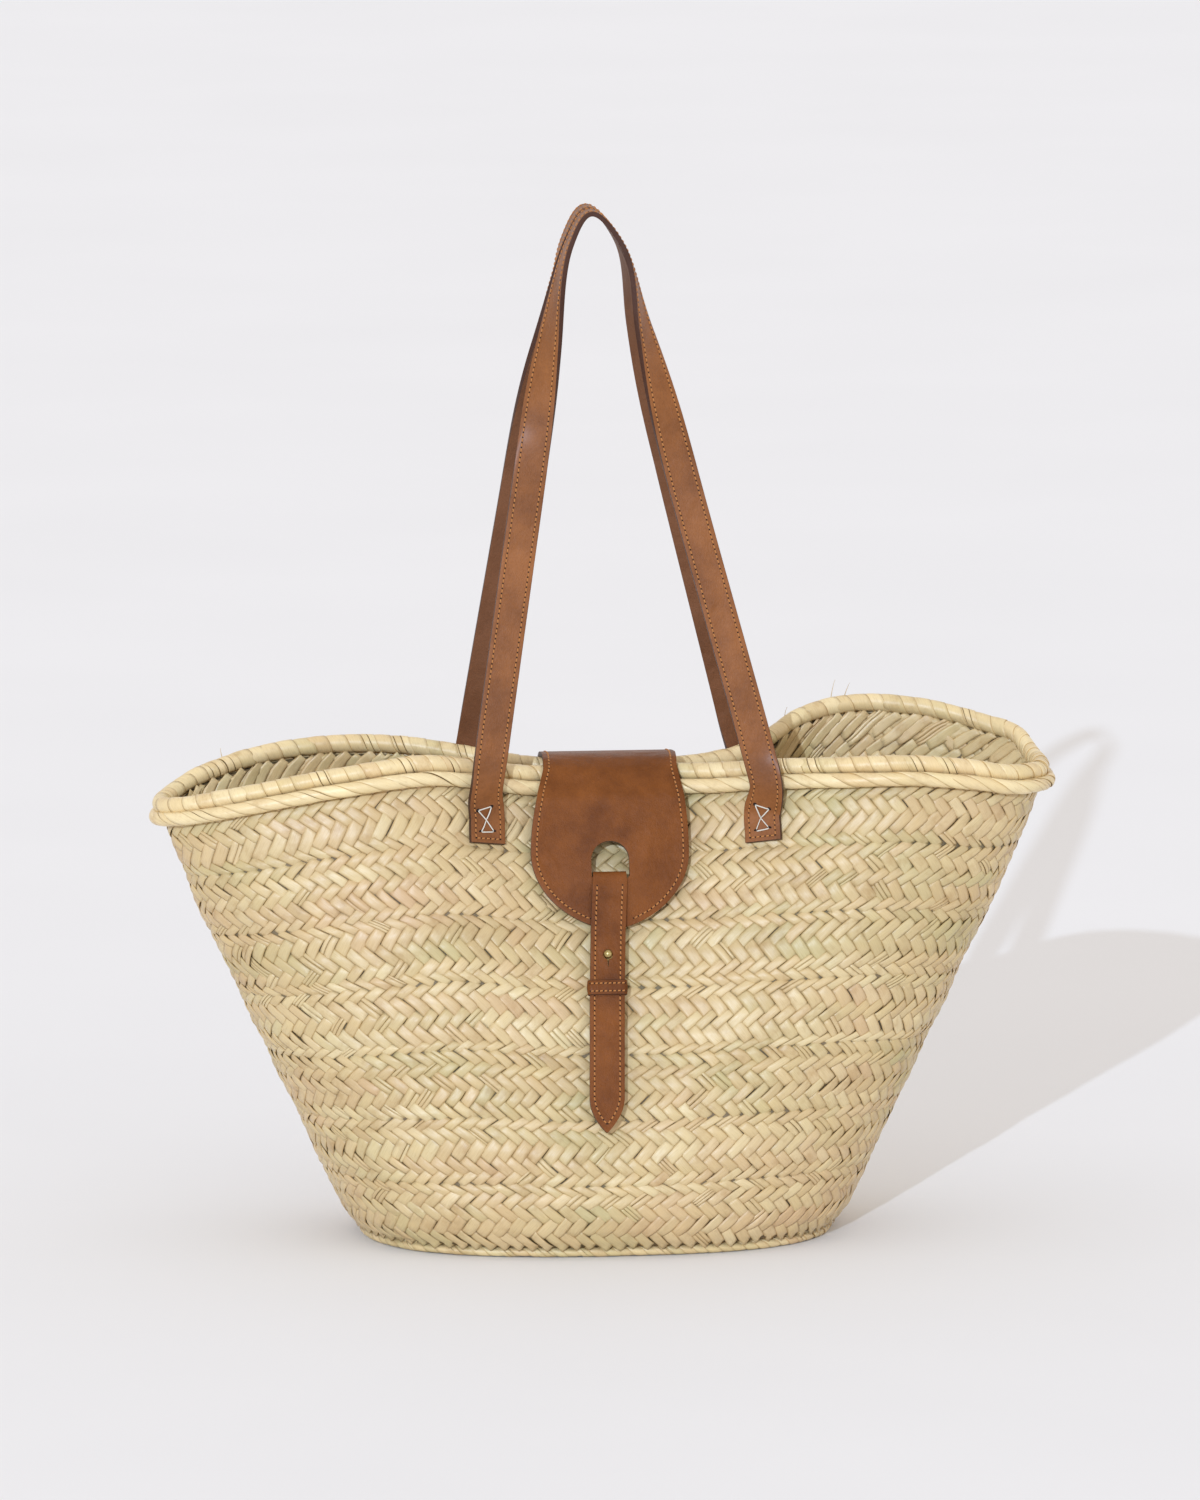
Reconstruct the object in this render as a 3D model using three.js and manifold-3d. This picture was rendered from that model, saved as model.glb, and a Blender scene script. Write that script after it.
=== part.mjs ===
// A woven palm-leaf market basket with a leather flap and two shoulder handles.
// Millimetres, +Z up. The origin is the middle of the base on the ground, and -Y is the front.

import * as THREE from 'three';
import { mergeVertices } from 'three/addons/utils/BufferGeometryUtils.js';
import Module from 'manifold-3d';

const wasm = await Module();
wasm.setup();

// ---- Driving dimensions ----

const touchGap = 0.3; // between solids that touch
const around = 48; // steps round the basket
const nominalHeight = 262; // height that the wall's profiles are drawn for

// Woven body
const wallThickness = 5;
const wallFoot = 6.6; // height where the first course of braid starts
const courseCount = 7;
const courseCrown = 0.4; // how far the middle of a braid stands out
const upperRollRadius = 5.3;
const lowerRollRadius = 4.3;
const rollSides = 8;
const upperRollLift = upperRollRadius + 1; // from the wall's top edge to the roll's middle
const lowerRollDrop = 1; // of the lower roll's middle below the wall's top edge
const lowerRollOut = lowerRollRadius + 1.2; // from the wall to the lower roll's middle
const footRingRadius = 3;
const footRingInset = 4.6;
const baseMatInset = 8.4;
const baseMatThickness = 5;

// Half length of the wall and half depth of its belly, against height as a share of nominalHeight
const halfLength = through([
  [0, 139.5], [0.03, 145.5], [0.08, 151.5], [0.15, 160], [0.34, 182], [0.57, 208.5], [0.76, 231], [1, 254],
]);
const bellyHalfDepth = through([[0, 93], [0.04, 98], [0.1, 101], [1, 101]]);
const bellyFullness = 0.25; // squares the oval of the base a little
const lean = through([[0, -3.5], [1, 0.5]]);

// Top line of the rim, against x as a share of the half length
const rimTopBack = through([
  [-1, 258], [-0.9, 271], [-0.7, 282], [-0.44, 283.5], [-0.17, 274.5], [0, 273], [0.29, 274],
  [0.39, 283], [0.47, 294], [0.6, 300], [0.77, 297], [0.92, 287], [1, 275],
]);
const rimTopFront = through([
  [-1, 258], [-0.79, 271], [-0.62, 280], [-0.44, 285.5], [-0.33, 283], [-0.18, 276], [0, 275],
  [0.22, 276], [0.39, 281], [0.64, 285], [0.79, 282], [0.9, 277], [1, 275],
]);

// Mouth: pinched in the middle, flared towards each end
const pinchHalfDepth = 18;
const leftFlare = 36;
const rightFlare = 56;
const leftFlareEnd = 0.62;
const rightFlareStart = 0.05;
const rightFlareEnd = 0.68;
const mouthOpensFrom = 0.1; // share of the height where the oval starts to turn into the mouth
const mouthOpensPower = 1.5;
const rightEndRound = 0.28; // how blunt the mouth's right end is; 0 is a plain oval

// Leather
const layer = 1.25; // one layer of leather
const twoLayers = 2 * layer + touchGap;
const strapWidth = 19;
const handleThread = { width: 8.6, height: 15.5, bar: 1.7, waist: 1.1, thickness: 0.8 };

// Handles. Each leg starts at its foot, on the hinge line, and both meet at the apex.
const handleHingeHeight = 259;
const footLeftX = -71.6;
const footRightX = 89;
const footLeftDepth = 48.6;
const footRightDepth = 60;
const handleApex = new THREE.Vector3(-8, -10.5, 593.5);
const leftLeg = [
  [-71.4, -50.2, 267], [-68, -48, 290], [-49, -29.5, 412], [-32.6, -17, 515], [-20, -12, 575],
];
const rightLeg = [
  [88.5, -61.5, 267], [83, -58.5, 290], [45.4, -32, 434], [22.7, -18, 525], [11, -13, 573],
];
const twistStart = 430;
const twistEnd = 586;
const tab = { width: 20.6, bottom: 233, top: 254.8, lift: 1.5 };

// Flap: a bridge over the mouth and a panel that hangs in front
const foldDepth = 33.5; // of the hinge lines in front of and behind the middle
const foldHeight = 277.9;
const hingeRelief = 1.7; // leather kept clear of a hinge line
const flapTopHalfWidth = 38.5;
const flapHalfWidth = 45.5;
const flapLength = 98;
const flapRoundFrom = 52; // distance down the panel where its end starts to round
const panelTipDepth = 62.6;
const flapCentre = 1.5;
const holeRadius = 10.9;
const holeDistance = 56.6; // from the fold to the middle of the hole
const anchor = { bottom: 224, rollHeight: 262, halfWidth: 38 };

// Closure strap, keeper and stud
const strap = { width: 20, top: 214.8, topDepth: 57, slope: 0.35, bottom: 75.5, pointLength: 20 };
const strapX = { top: -0.7, bottom: -7 };
const slot = { width: 6.6, length: 12.4 };
const keeper = { height: 153, band: 8.6, thickness: 1.1, clearance: 0.4 };
const studHeight = 172;
const studTilt = THREE.MathUtils.degToRad(16);
const stud = { ball: 2.7, neck: 1.6, flange: 4, flangeThickness: 1, reach: 10.3 };
const studHoleRadius = 2;
const washer = { radius: 7, thickness: 1.5 };

// ---- Materials ----

const paint = (color, roughness, metalness = 0) =>
  new THREE.MeshStandardMaterial({ color, roughness, metalness });
const straw = () => paint(0xd8c49c, 0.55);
const leather = () => paint(0x80482a, 0.5);
const liningLeather = () => paint(0x8a5a38, 0.75);
const thread = () => paint(0xebe6d7, 0.6);
const brass = () => paint(0x96803c, 0.35, 0.9);

// ---- Curves and meshes ----

// A smooth curve y(x) through a few points, given with x rising
function through(points) {
  const last = points.length - 1;
  const slopes = points.map((point, i) => {
    const before = points[Math.max(i - 1, 0)];
    const after = points[Math.min(i + 1, last)];
    return (after[1] - before[1]) / (after[0] - before[0]);
  });
  return (x) => {
    let i = 0;
    while (i < last - 1 && x > points[i + 1][0]) i += 1;
    const [x0, y0] = points[i];
    const [x1, y1] = points[i + 1];
    const width = x1 - x0;
    const t = THREE.MathUtils.clamp((x - x0) / width, 0, 1);
    const bend0 = width * slopes[i];
    const bend1 = width * slopes[i + 1];
    return (
      y0 * (1 + 2 * t) * (1 - t) ** 2 +
      bend0 * t * (1 - t) ** 2 +
      y1 * t * t * (3 - 2 * t) +
      bend1 * t * t * (t - 1)
    );
  };
}

const vector = (x, y, z) => new THREE.Vector3(x, y, z);

// A closed body through a row of sections. An open row is capped; each section then runs along one
// face of a sheet and back along the other, and both faces are split along the same diagonals, so
// that two twisted sheets can lie on each other.
function loft(sections, closed) {
  const count = sections[0].length;
  const position = sections.flat().flatMap((p) => [p.x, p.y, p.z]);
  const index = [];
  const quad = (a, b, c, d) => index.push(a, b, c, a, c, d);
  const rows = closed ? sections.length : sections.length - 1;
  for (let j = 0; j < rows; j += 1) {
    const here = j * count;
    const next = ((j + 1) % sections.length) * count;
    for (let i = 0; i < count; i += 1) {
      const k = (i + 1) % count;
      if (closed || i < count / 2) quad(here + i, here + k, next + k, next + i);
      else quad(here + k, next + k, next + i, here + i);
    }
  }
  if (!closed) {
    const end = rows * count;
    for (let i = 0; i < count / 2 - 1; i += 1) {
      quad(i, count - 1 - i, count - 2 - i, i + 1);
      quad(end + i, end + i + 1, end + count - 2 - i, end + count - 1 - i);
    }
  }
  const geometry = new THREE.BufferGeometry();
  geometry.setAttribute('position', new THREE.Float32BufferAttribute(position, 3));
  geometry.setIndex(index);
  return facingOut(geometry);
}

// Turns the triangles over if the body is inside out
function facingOut(geometry) {
  const p = geometry.getAttribute('position');
  const index = geometry.getIndex().array;
  const corner = (i) => new THREE.Vector3().fromBufferAttribute(p, index[i]);
  let volume = 0;
  for (let i = 0; i < index.length; i += 3) {
    volume += corner(i).dot(corner(i + 1).cross(corner(i + 2)));
  }
  if (volume < 0) index.reverse();
  geometry.computeVertexNormals();
  return geometry;
}

function toManifold(geometry) {
  let bare = geometry.clone();
  bare.deleteAttribute('normal');
  bare.deleteAttribute('uv');
  bare = mergeVertices(bare, 1e-4);
  const mesh = new wasm.Mesh({
    numProp: 3,
    vertProperties: new Float32Array(bare.getAttribute('position').array),
    triVerts: new Uint32Array(bare.getIndex().array),
  });
  return new wasm.Manifold(mesh);
}

// What is left of one closed geometry when another is cut from it
function cut(geometry, tool) {
  const mesh = toManifold(geometry).subtract(toManifold(tool)).getMesh();
  const left = new THREE.BufferGeometry();
  left.setAttribute('position', new THREE.BufferAttribute(new Float32Array(mesh.vertProperties), 3));
  left.setIndex([...mesh.triVerts]);
  left.computeVertexNormals();
  return left;
}

// A point of a surface, lifted off it along its normal
function lifted(surface, u, v, lift) {
  const step = 1e-3;
  const alongU = surface(u + step, v).sub(surface(u - step, v));
  const alongV = surface(u, v + step).sub(surface(u, v - step));
  const normal = alongU.cross(alongV).normalize();
  return surface(u, v).addScaledVector(normal, lift);
}

// A sheet of leather on a surface, between two heights above it
function sheet(surface, across, along, low, high) {
  const sections = [];
  for (let j = 0; j <= along; j += 1) {
    const top = [];
    const bottom = [];
    for (let i = 0; i <= across; i += 1) {
      top.push(lifted(surface, i / across, j / along, high));
      bottom.unshift(lifted(surface, i / across, j / along, low));
    }
    sections.push([...top, ...bottom]);
  }
  return loft(sections, false);
}

// The outer leather and the lining on the two sides of a middle surface
const outerLayer = (surface, across, along) =>
  sheet(surface, across, along, touchGap / 2, touchGap / 2 + layer);
const innerLayer = (surface, across, along) =>
  sheet(surface, across, along, -touchGap / 2 - layer, -touchGap / 2);

// ---- Woven body ----

function rimTop(across, side) {
  return side < 0 ? rimTopFront(across) : rimTopBack(across);
}

function mouthHalfDepth(across) {
  const { smoothstep } = THREE.MathUtils;
  const left = leftFlare * smoothstep(-across, 0, leftFlareEnd);
  const right = rightFlare * smoothstep(across, rightFlareStart, rightFlareEnd);
  return (pinchHalfDepth + left + right) * Math.sqrt(1 + across * across);
}

// A point on the wall's outer face. The angle goes round from +X and the level from foot to top.
function wallPoint(angle, level) {
  const across = Math.cos(angle);
  const side = Math.sin(angle);
  const top = rimTop(across, side) - upperRollLift - upperRollRadius;
  const opening = Math.max((level - mouthOpensFrom) / (1 - mouthOpensFrom), 0) ** mouthOpensPower;
  const belly = bellyHalfDepth(level) * (1 + bellyFullness * across * across);
  const depth = THREE.MathUtils.lerp(belly, mouthHalfDepth(across), opening);
  const blunt = rightEndRound * opening * THREE.MathUtils.smoothstep(across, 0.3, 1);
  return vector(
    lean(level) + halfLength(level) * across,
    depth * Math.sign(side) * Math.abs(side) ** (1 - blunt),
    THREE.MathUtils.lerp(wallFoot, top, level),
  );
}

const wallSkin = (angle, level, out) => lifted(wallPoint, angle, level, out);

// The direction straight out of the wall, level with the ground
function levelOut(angle, level) {
  const out = wallSkin(angle, level, 1).sub(wallPoint(angle, level));
  return out.setZ(0).normalize();
}

function ring(sectionAt) {
  const sections = [];
  for (let i = 0; i < around; i += 1) sections.push(sectionAt((i * 2 * Math.PI) / around));
  return loft(sections, true);
}

function wallCourse(number) {
  const seam = touchGap / nominalHeight;
  const low = number / courseCount + seam / 2;
  const high = (number + 1) / courseCount - seam / 2;
  return ring((angle) => [
    wallSkin(angle, low, 0),
    wallSkin(angle, (low + high) / 2, courseCrown),
    wallSkin(angle, high, 0),
    wallSkin(angle, high, -wallThickness),
    wallSkin(angle, low, -wallThickness),
  ]);
}

// A round ring that follows the wall at one level, moved out and up from it
function roll(level, out, up, radius) {
  return ring((angle) => {
    const outward = levelOut(angle, level);
    const middle = wallPoint(angle, level).addScaledVector(outward, out);
    middle.z += up;
    const section = [];
    for (let i = 0; i < rollSides; i += 1) {
      const turn = ((i + 0.5) * 2 * Math.PI) / rollSides;
      const point = middle.clone().addScaledVector(outward, radius * Math.cos(turn));
      point.z += radius * Math.sin(turn);
      section.push(point);
    }
    return section;
  });
}

function footRing() {
  const flatLift = footRingRadius * Math.cos(Math.PI / rollSides);
  return roll(0, -footRingInset, flatLift - wallFoot, footRingRadius);
}

function baseMat() {
  const outline = new THREE.Shape();
  for (let i = 0; i < around; i += 1) {
    const angle = (i * 2 * Math.PI) / around;
    const edge = wallPoint(angle, 0).addScaledVector(levelOut(angle, 0), -baseMatInset);
    if (i === 0) outline.moveTo(edge.x, edge.y);
    else outline.lineTo(edge.x, edge.y);
  }
  outline.closePath();
  return new THREE.ExtrudeGeometry(outline, { depth: baseMatThickness, bevelEnabled: false });
}

// The angle and level of the wall's point at one x and height, on the front (-1) or the back (1)
function wallPlace(side, x, z) {
  let level = z / nominalHeight;
  let angle = 0;
  for (let i = 0; i < 20; i += 1) {
    const across = THREE.MathUtils.clamp((x - lean(level)) / halfLength(level), -1, 1);
    angle = side * Math.acos(across);
    const top = wallPoint(angle, 1).z;
    level = (z - wallFoot) / (top - wallFoot);
  }
  return [angle, level];
}

const wallAt = (side, x, z) => wallPoint(...wallPlace(side, x, z));

// The wall's outward direction at one place
function wallNormal(side, x, z) {
  const place = wallPlace(side, x, z);
  return wallSkin(...place, 1).sub(wallPoint(...place));
}

// ---- Handles ----

// The sewn end of a handle, which lies on the wall
function handleTab(side, x) {
  const surface = (u, v) => {
    const along = x - side * tab.width * (u - 0.5);
    return wallAt(side, along, THREE.MathUtils.lerp(tab.bottom, tab.top, v));
  };
  return sheet(surface, 2, 2, tab.lift, tab.lift + twoLayers);
}

// Waxed thread: a bar above, a bar below and a cross between them
function hourglass() {
  const { width, height, bar, waist, thickness } = handleThread;
  const w = width / 2;
  const h = height / 2;
  const outline = new THREE.Shape();
  outline.moveTo(-w, -h);
  outline.lineTo(w, -h);
  outline.lineTo(w, -h + bar);
  outline.lineTo(waist, 0);
  outline.lineTo(w, h - bar);
  outline.lineTo(w, h);
  outline.lineTo(-w, h);
  outline.lineTo(-w, h - bar);
  outline.lineTo(-waist, 0);
  outline.lineTo(-w, -h + bar);
  outline.closePath();
  return new THREE.ExtrudeGeometry(outline, { depth: thickness, bevelEnabled: false });
}

// Turns a flat piece drawn in XY so that it faces along a direction with its Y axis up
function faceAlong(mesh, at, outward) {
  const across = vector(0, 0, 1).cross(outward).normalize();
  const up = outward.clone().cross(across);
  mesh.quaternion.setFromRotationMatrix(new THREE.Matrix4().makeBasis(across, up, outward));
  mesh.position.copy(at);
  return mesh;
}

// The middle surface of a handle's strap: flat to the front at its feet and turned edge-on by a
// quarter twist before the apex
function handleSurface(side) {
  const feet = [
    vector(footLeftX, -footLeftDepth, handleHingeHeight + hingeRelief),
    vector(footRightX, -footRightDepth, handleHingeHeight + hingeRelief),
  ];
  const path = [
    feet[0],
    ...leftLeg.map((p) => vector(...p)),
    handleApex,
    ...rightLeg.map((p) => vector(...p)).reverse(),
    feet[1],
  ];
  const curve = new THREE.CatmullRomCurve3(path, false, 'centripetal');
  const front = -Math.sign(side);
  return (u, v) => {
    const crowded = v - 0.06 * Math.sin(4 * Math.PI * v); // more steps at the feet and the apex
    const t = THREE.MathUtils.clamp(crowded, 0, 1);
    const middle = curve.getPointAt(t);
    const tangent = curve.getTangentAt(t);
    const quarter = (Math.PI / 2) * THREE.MathUtils.smoothstep(middle.z, twistStart, twistEnd);
    const turn = middle.x < handleApex.x ? quarter : Math.PI - quarter;
    const width = vector(Math.cos(turn), -Math.sin(turn), 0);
    width.addScaledVector(tangent, -width.dot(tangent)).normalize();
    const point = middle.addScaledVector(width, front * strapWidth * (u - 0.5));
    point.y *= front;
    return point;
  };
}

// ---- Flap ----

// Half width of the hanging panel at a distance down from the fold
function flapHalfWidthAt(distance) {
  if (distance < flapRoundFrom) {
    const share = Math.sin((distance / flapRoundFrom) * (Math.PI / 2));
    return THREE.MathUtils.lerp(flapTopHalfWidth, flapHalfWidth, share);
  }
  const t = (distance - flapRoundFrom) / (flapLength - flapRoundFrom);
  return flapHalfWidth * (1 - t * t) ** 0.6;
}

const panelFall = flapLength ** 2 - (panelTipDepth - foldDepth) ** 2;
const panelDown = vector(0, foldDepth - panelTipDepth, -Math.sqrt(panelFall)).normalize();
const panelOut = vector(0, panelDown.z, -panelDown.y);
const panelPoint = (x, distance) =>
  vector(flapCentre + x, -foldDepth, foldHeight).addScaledVector(panelDown, distance);

function panelSurface(u, v) {
  const tip = flapLength - 0.4;
  const distance = THREE.MathUtils.lerp(tip, hingeRelief, Math.max(v, 0) ** 1.5);
  return panelPoint((u - 0.5) * 2 * flapHalfWidthAt(distance), distance);
}

const bridgeSurface = (u, v) =>
  vector(
    flapCentre + (u - 0.5) * 2 * flapTopHalfWidth,
    (v - 0.5) * 2 * (foldDepth - hingeRelief),
    foldHeight,
  );

// The hole that the closure strap comes through: an arch with a flat foot
function throughPanel(geometry) {
  const r = holeRadius;
  const outline = new THREE.Shape();
  outline.moveTo(-r, -r);
  outline.lineTo(r, -r);
  outline.lineTo(r, 0);
  outline.absarc(0, 0, r, 0, Math.PI, false);
  outline.closePath();
  const depth = 20;
  const tool = new THREE.ExtrudeGeometry(outline, { depth, bevelEnabled: false });
  const up = panelDown.clone().negate();
  const basis = new THREE.Matrix4().makeBasis(vector(1, 0, 0), up, panelOut);
  tool.translate(0, 0, -depth / 2).applyMatrix4(basis);
  tool.translate(...panelPoint(strapX.top - flapCentre, holeDistance));
  return cut(geometry, tool);
}

// The flap's sewn end: down from the hinge, out round the rolls and on to the back wall
function anchorSurface(u, v) {
  const x = flapCentre - (u - 0.5) * 2 * anchor.halfWidth;
  const sewnTop = 247;
  const rollOut = lowerRollOut + lowerRollRadius + 3;
  const lift = through([
    [anchor.bottom, 2.9], [235, 2.9], [sewnTop, 6], [anchor.rollHeight, rollOut],
  ]);
  const z = THREE.MathUtils.lerp(anchor.bottom, foldHeight - hingeRelief, v);
  const onWall = wallAt(1, x, Math.min(z, anchor.rollHeight)).y + lift(z);
  const share = THREE.MathUtils.smoothstep(z, anchor.rollHeight, foldHeight + 4);
  return vector(x, THREE.MathUtils.lerp(onWall, foldDepth, share), z);
}

// ---- Closure strap, keeper and stud ----

const strapDown = vector(0, -strap.slope, -1).normalize();
const strapOut = vector(0, strapDown.z, -strapDown.y);
const strapLength = (strap.top - strap.bottom) / -strapDown.z;

// A point of the strap's middle surface at a share of its length from the fold
function strapPoint(across, share) {
  const x = THREE.MathUtils.lerp(strapX.top, strapX.bottom, share) + across;
  return vector(x, -strap.topDepth, strap.top).addScaledVector(strapDown, share * strapLength);
}

function strapSurface(u, v) {
  const distance = THREE.MathUtils.lerp(strapLength - 0.4, 0, Math.max(v, 0) ** 1.5);
  const fromPoint = (distance - strapLength + strap.pointLength) / strap.pointLength;
  const half = (strap.width / 2) * (1 - Math.max(fromPoint, 0) ** 1.6);
  return strapPoint((u - 0.5) * 2 * half, distance / strapLength);
}

// A slot with round ends, from just above the stud downwards, so that its ball clears the strap
function strapSlot(geometry) {
  const r = slot.width / 2;
  const outline = new THREE.Shape();
  const low = r - slot.length;
  outline.moveTo(r, 0);
  outline.absarc(0, 0, r, 0, Math.PI, false);
  outline.lineTo(-r, low);
  outline.absarc(0, low, r, Math.PI, 2 * Math.PI, false);
  outline.closePath();
  const depth = 20;
  const tool = new THREE.ExtrudeGeometry(outline, { depth, bevelEnabled: false, curveSegments: 8 });
  const share = (strap.top - studHeight) / (strap.top - strap.bottom);
  const across = vector(1, 0, 0);
  const up = strapDown.clone().negate();
  const basis = new THREE.Matrix4().makeBasis(across, up, strapOut);
  tool.translate(0, 0, -depth / 2).applyMatrix4(basis);
  tool.translate(...strapPoint(0, share));
  return cut(geometry, tool);
}

// The strap's root lies behind the panel, and its end comes forward through the hole
function strapRootSurface(u, v) {
  const x = strapX.top + (u - 0.5) * (strap.width - 1.5);
  const behind = -(twoLayers + touchGap + 0.1);
  const holeBottom = holeDistance + holeRadius;
  const distance = THREE.MathUtils.lerp(holeBottom + 24, holeBottom - 2.4, Math.min(v / 0.8, 1));
  const point = panelPoint(x - flapCentre, distance).addScaledVector(panelOut, behind);
  const forward = Math.max(v - 0.8, 0) / 0.2;
  return point.addScaledVector(panelOut, forward * (-behind - 0.4));
}

// A band round the strap, made as a closed loop of rounded corners
function keeperLoop() {
  const halfWide = strap.width / 2 + keeper.clearance;
  const halfThick = twoLayers / 2 + keeper.clearance;
  const share = (strap.top - keeper.height) / (strap.top - strap.bottom);
  const middle = strapPoint(0, share);
  const corners = [[1, 1], [-1, 1], [-1, -1], [1, -1]];
  const steps = 3;
  const sections = [];
  corners.forEach(([sx, sy], quarter) => {
    for (let i = 0; i <= steps; i += 1) {
      const turn = ((quarter + i / steps) * Math.PI) / 2;
      const out = vector(Math.cos(turn), 0, 0).addScaledVector(strapOut, Math.sin(turn));
      const corner = middle.clone().addScaledVector(strapOut, sy * halfThick);
      corner.x += sx * halfWide;
      const face = corner.clone().addScaledVector(out, keeper.thickness);
      const up = strapDown.clone().multiplyScalar(-keeper.band / 2);
      const inner = corner.addScaledVector(out, 0.05);
      sections.push([
        inner.clone().add(up),
        face.clone().add(up),
        face.clone().sub(up),
        inner.clone().sub(up),
      ]);
    }
  });
  return loft(sections, true);
}

const studX = THREE.MathUtils.lerp(
  strapX.top, strapX.bottom, (strap.top - studHeight) / (strap.top - strap.bottom),
);
const studAxis = vector(0, -Math.cos(studTilt), Math.sin(studTilt));
const studFoot = wallAt(-1, studX, studHeight - 2);

// Turned parts are drawn with their axis along Y
function turned(points) {
  const profile = points.map(([r, y]) => new THREE.Vector2(r, y));
  const turn = new THREE.Quaternion().setFromUnitVectors(vector(0, 1, 0), studAxis);
  return new THREE.LatheGeometry(profile, 20).applyQuaternion(turn).translate(...studFoot);
}

function ballStud() {
  const { ball, neck, flange, flangeThickness, reach } = stud;
  const seat = courseCrown + 0.8;
  const through = -(wallThickness + 3.5);
  const points = [[0, through], [neck, through], [neck, seat], [flange, seat]];
  points.push([flange, seat + flangeThickness], [neck, seat + flangeThickness + 0.6]);
  const start = Math.asin(neck / ball);
  const steps = 8;
  for (let i = 0; i <= steps; i += 1) {
    const turn = THREE.MathUtils.lerp(Math.PI - start, 0, i / steps);
    points.push([i === steps ? 0 : ball * Math.sin(turn), reach + ball * Math.cos(turn)]);
  }
  return turned(points);
}

function studWasher() {
  const near = -(wallThickness + 1.7);
  const far = near - washer.thickness;
  const { radius } = washer;
  const hole = studHoleRadius;
  return turned([[hole, far], [radius, far], [radius, near], [hole, near], [hole, far]]);
}

function studHole(geometry) {
  const tool = new THREE.CylinderGeometry(studHoleRadius, studHoleRadius, 30, 16);
  const turn = new THREE.Quaternion().setFromUnitVectors(vector(0, 1, 0), studAxis);
  tool.applyQuaternion(turn).translate(...studFoot);
  return cut(geometry, tool);
}

// ---- Assembly ----

const group = new THREE.Group();

function add(name, geometry, material) {
  const mesh = new THREE.Mesh(geometry, material);
  mesh.name = name;
  group.add(mesh);
  return mesh;
}

add('base_mat', baseMat(), straw());
add('foot_ring', footRing(), straw());
const studCourse = Math.floor((studHeight / nominalHeight) * courseCount);
for (let i = 0; i < courseCount; i += 1) {
  const course = wallCourse(i);
  add(`wall_course_${i + 1}`, i === studCourse ? studHole(course) : course, straw());
}
add('upper_rim_roll', roll(1, -wallThickness / 2, upperRollLift, upperRollRadius), straw());
add('lower_rim_roll', roll(1, lowerRollOut, -lowerRollDrop, lowerRollRadius), straw());

const sides = { front: -1, back: 1 };
for (const [name, side] of Object.entries(sides)) {
  for (const [hand, x] of Object.entries({ left: footLeftX, right: footRightX })) {
    add(`${name}_handle_end_${hand}`, handleTab(side, x), leather());
    const z = (tab.bottom + tab.top) / 2;
    const outward = wallNormal(side, x, z);
    const at = wallAt(side, x, z).addScaledVector(outward, tab.lift + twoLayers + 2 * touchGap);
    faceAlong(add(`${name}_handle_thread_${hand}`, hourglass(), thread()), at, outward);
  }
  const strapOf = handleSurface(side);
  add(`${name}_handle_outer`, outerLayer(strapOf, 1, 44), leather());
  add(`${name}_handle_lining`, innerLayer(strapOf, 1, 44), liningLeather());
}

add('flap_anchor', sheet(anchorSurface, 4, 9, -twoLayers / 2, twoLayers / 2), leather());
add('flap_bridge_outer', outerLayer(bridgeSurface, 1, 1), leather());
add('flap_bridge_lining', innerLayer(bridgeSurface, 1, 1), liningLeather());
add('flap_panel_outer', throughPanel(outerLayer(panelSurface, 1, 14)), leather());
add('flap_panel_lining', throughPanel(innerLayer(panelSurface, 1, 14)), liningLeather());

add('strap_root', sheet(strapRootSurface, 1, 5, -1, 1), leather());
add('closure_strap_outer', strapSlot(outerLayer(strapSurface, 1, 10)), leather());
add('closure_strap_lining', strapSlot(innerLayer(strapSurface, 1, 10)), liningLeather());
add('strap_keeper', keeperLoop(), leather());
add('ball_stud', ballStud(), brass());
add('stud_washer', studWasher(), brass());

export default group;
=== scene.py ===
import math

import bmesh
import bpy
import numpy as np
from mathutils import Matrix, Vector


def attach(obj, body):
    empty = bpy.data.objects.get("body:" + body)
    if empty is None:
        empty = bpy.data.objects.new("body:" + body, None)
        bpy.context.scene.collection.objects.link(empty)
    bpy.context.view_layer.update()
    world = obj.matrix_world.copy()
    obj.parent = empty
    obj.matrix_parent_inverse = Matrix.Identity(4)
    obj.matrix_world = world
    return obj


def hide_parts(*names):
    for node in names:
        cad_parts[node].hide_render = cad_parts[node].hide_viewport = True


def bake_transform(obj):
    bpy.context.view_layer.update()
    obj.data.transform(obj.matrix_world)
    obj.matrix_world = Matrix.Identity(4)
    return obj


# A woven palm-leaf market basket with a leather flap and two shoulder handles. -Y is the front.
# Lengths in the shape functions are millimetres, as in the part's design; MM turns them into metres.

MM = 0.001
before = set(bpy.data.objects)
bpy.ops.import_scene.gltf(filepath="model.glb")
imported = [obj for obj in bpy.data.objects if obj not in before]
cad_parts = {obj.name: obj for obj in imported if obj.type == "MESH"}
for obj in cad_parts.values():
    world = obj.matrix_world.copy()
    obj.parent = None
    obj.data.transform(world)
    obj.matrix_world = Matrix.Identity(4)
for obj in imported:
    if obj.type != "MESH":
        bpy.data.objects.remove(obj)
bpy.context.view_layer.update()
rng = np.random.default_rng(11)

# ---- Design values: the part's, a few of them moved by up to 1.5 mm ----

# Woven body
WALL_FOOT = 6.6  # height where the first turn of braid starts
COURSES = 7  # turns of braid
ROWS = 5  # rows of slats in one turn of braid
WALL_THICKNESS = 5.0
UPPER_ROLL = 5.3  # radii
LOWER_ROLL = 4.3
FOOT_RING = 3.0
UPPER_LIFT = UPPER_ROLL + 1  # from the wall's top edge to the roll's middle
LOWER_OUT = LOWER_ROLL + 1.2  # from the wall to the lower roll's middle
LOWER_DROP = 1.0  # of the lower roll's middle below the wall's top edge

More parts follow.
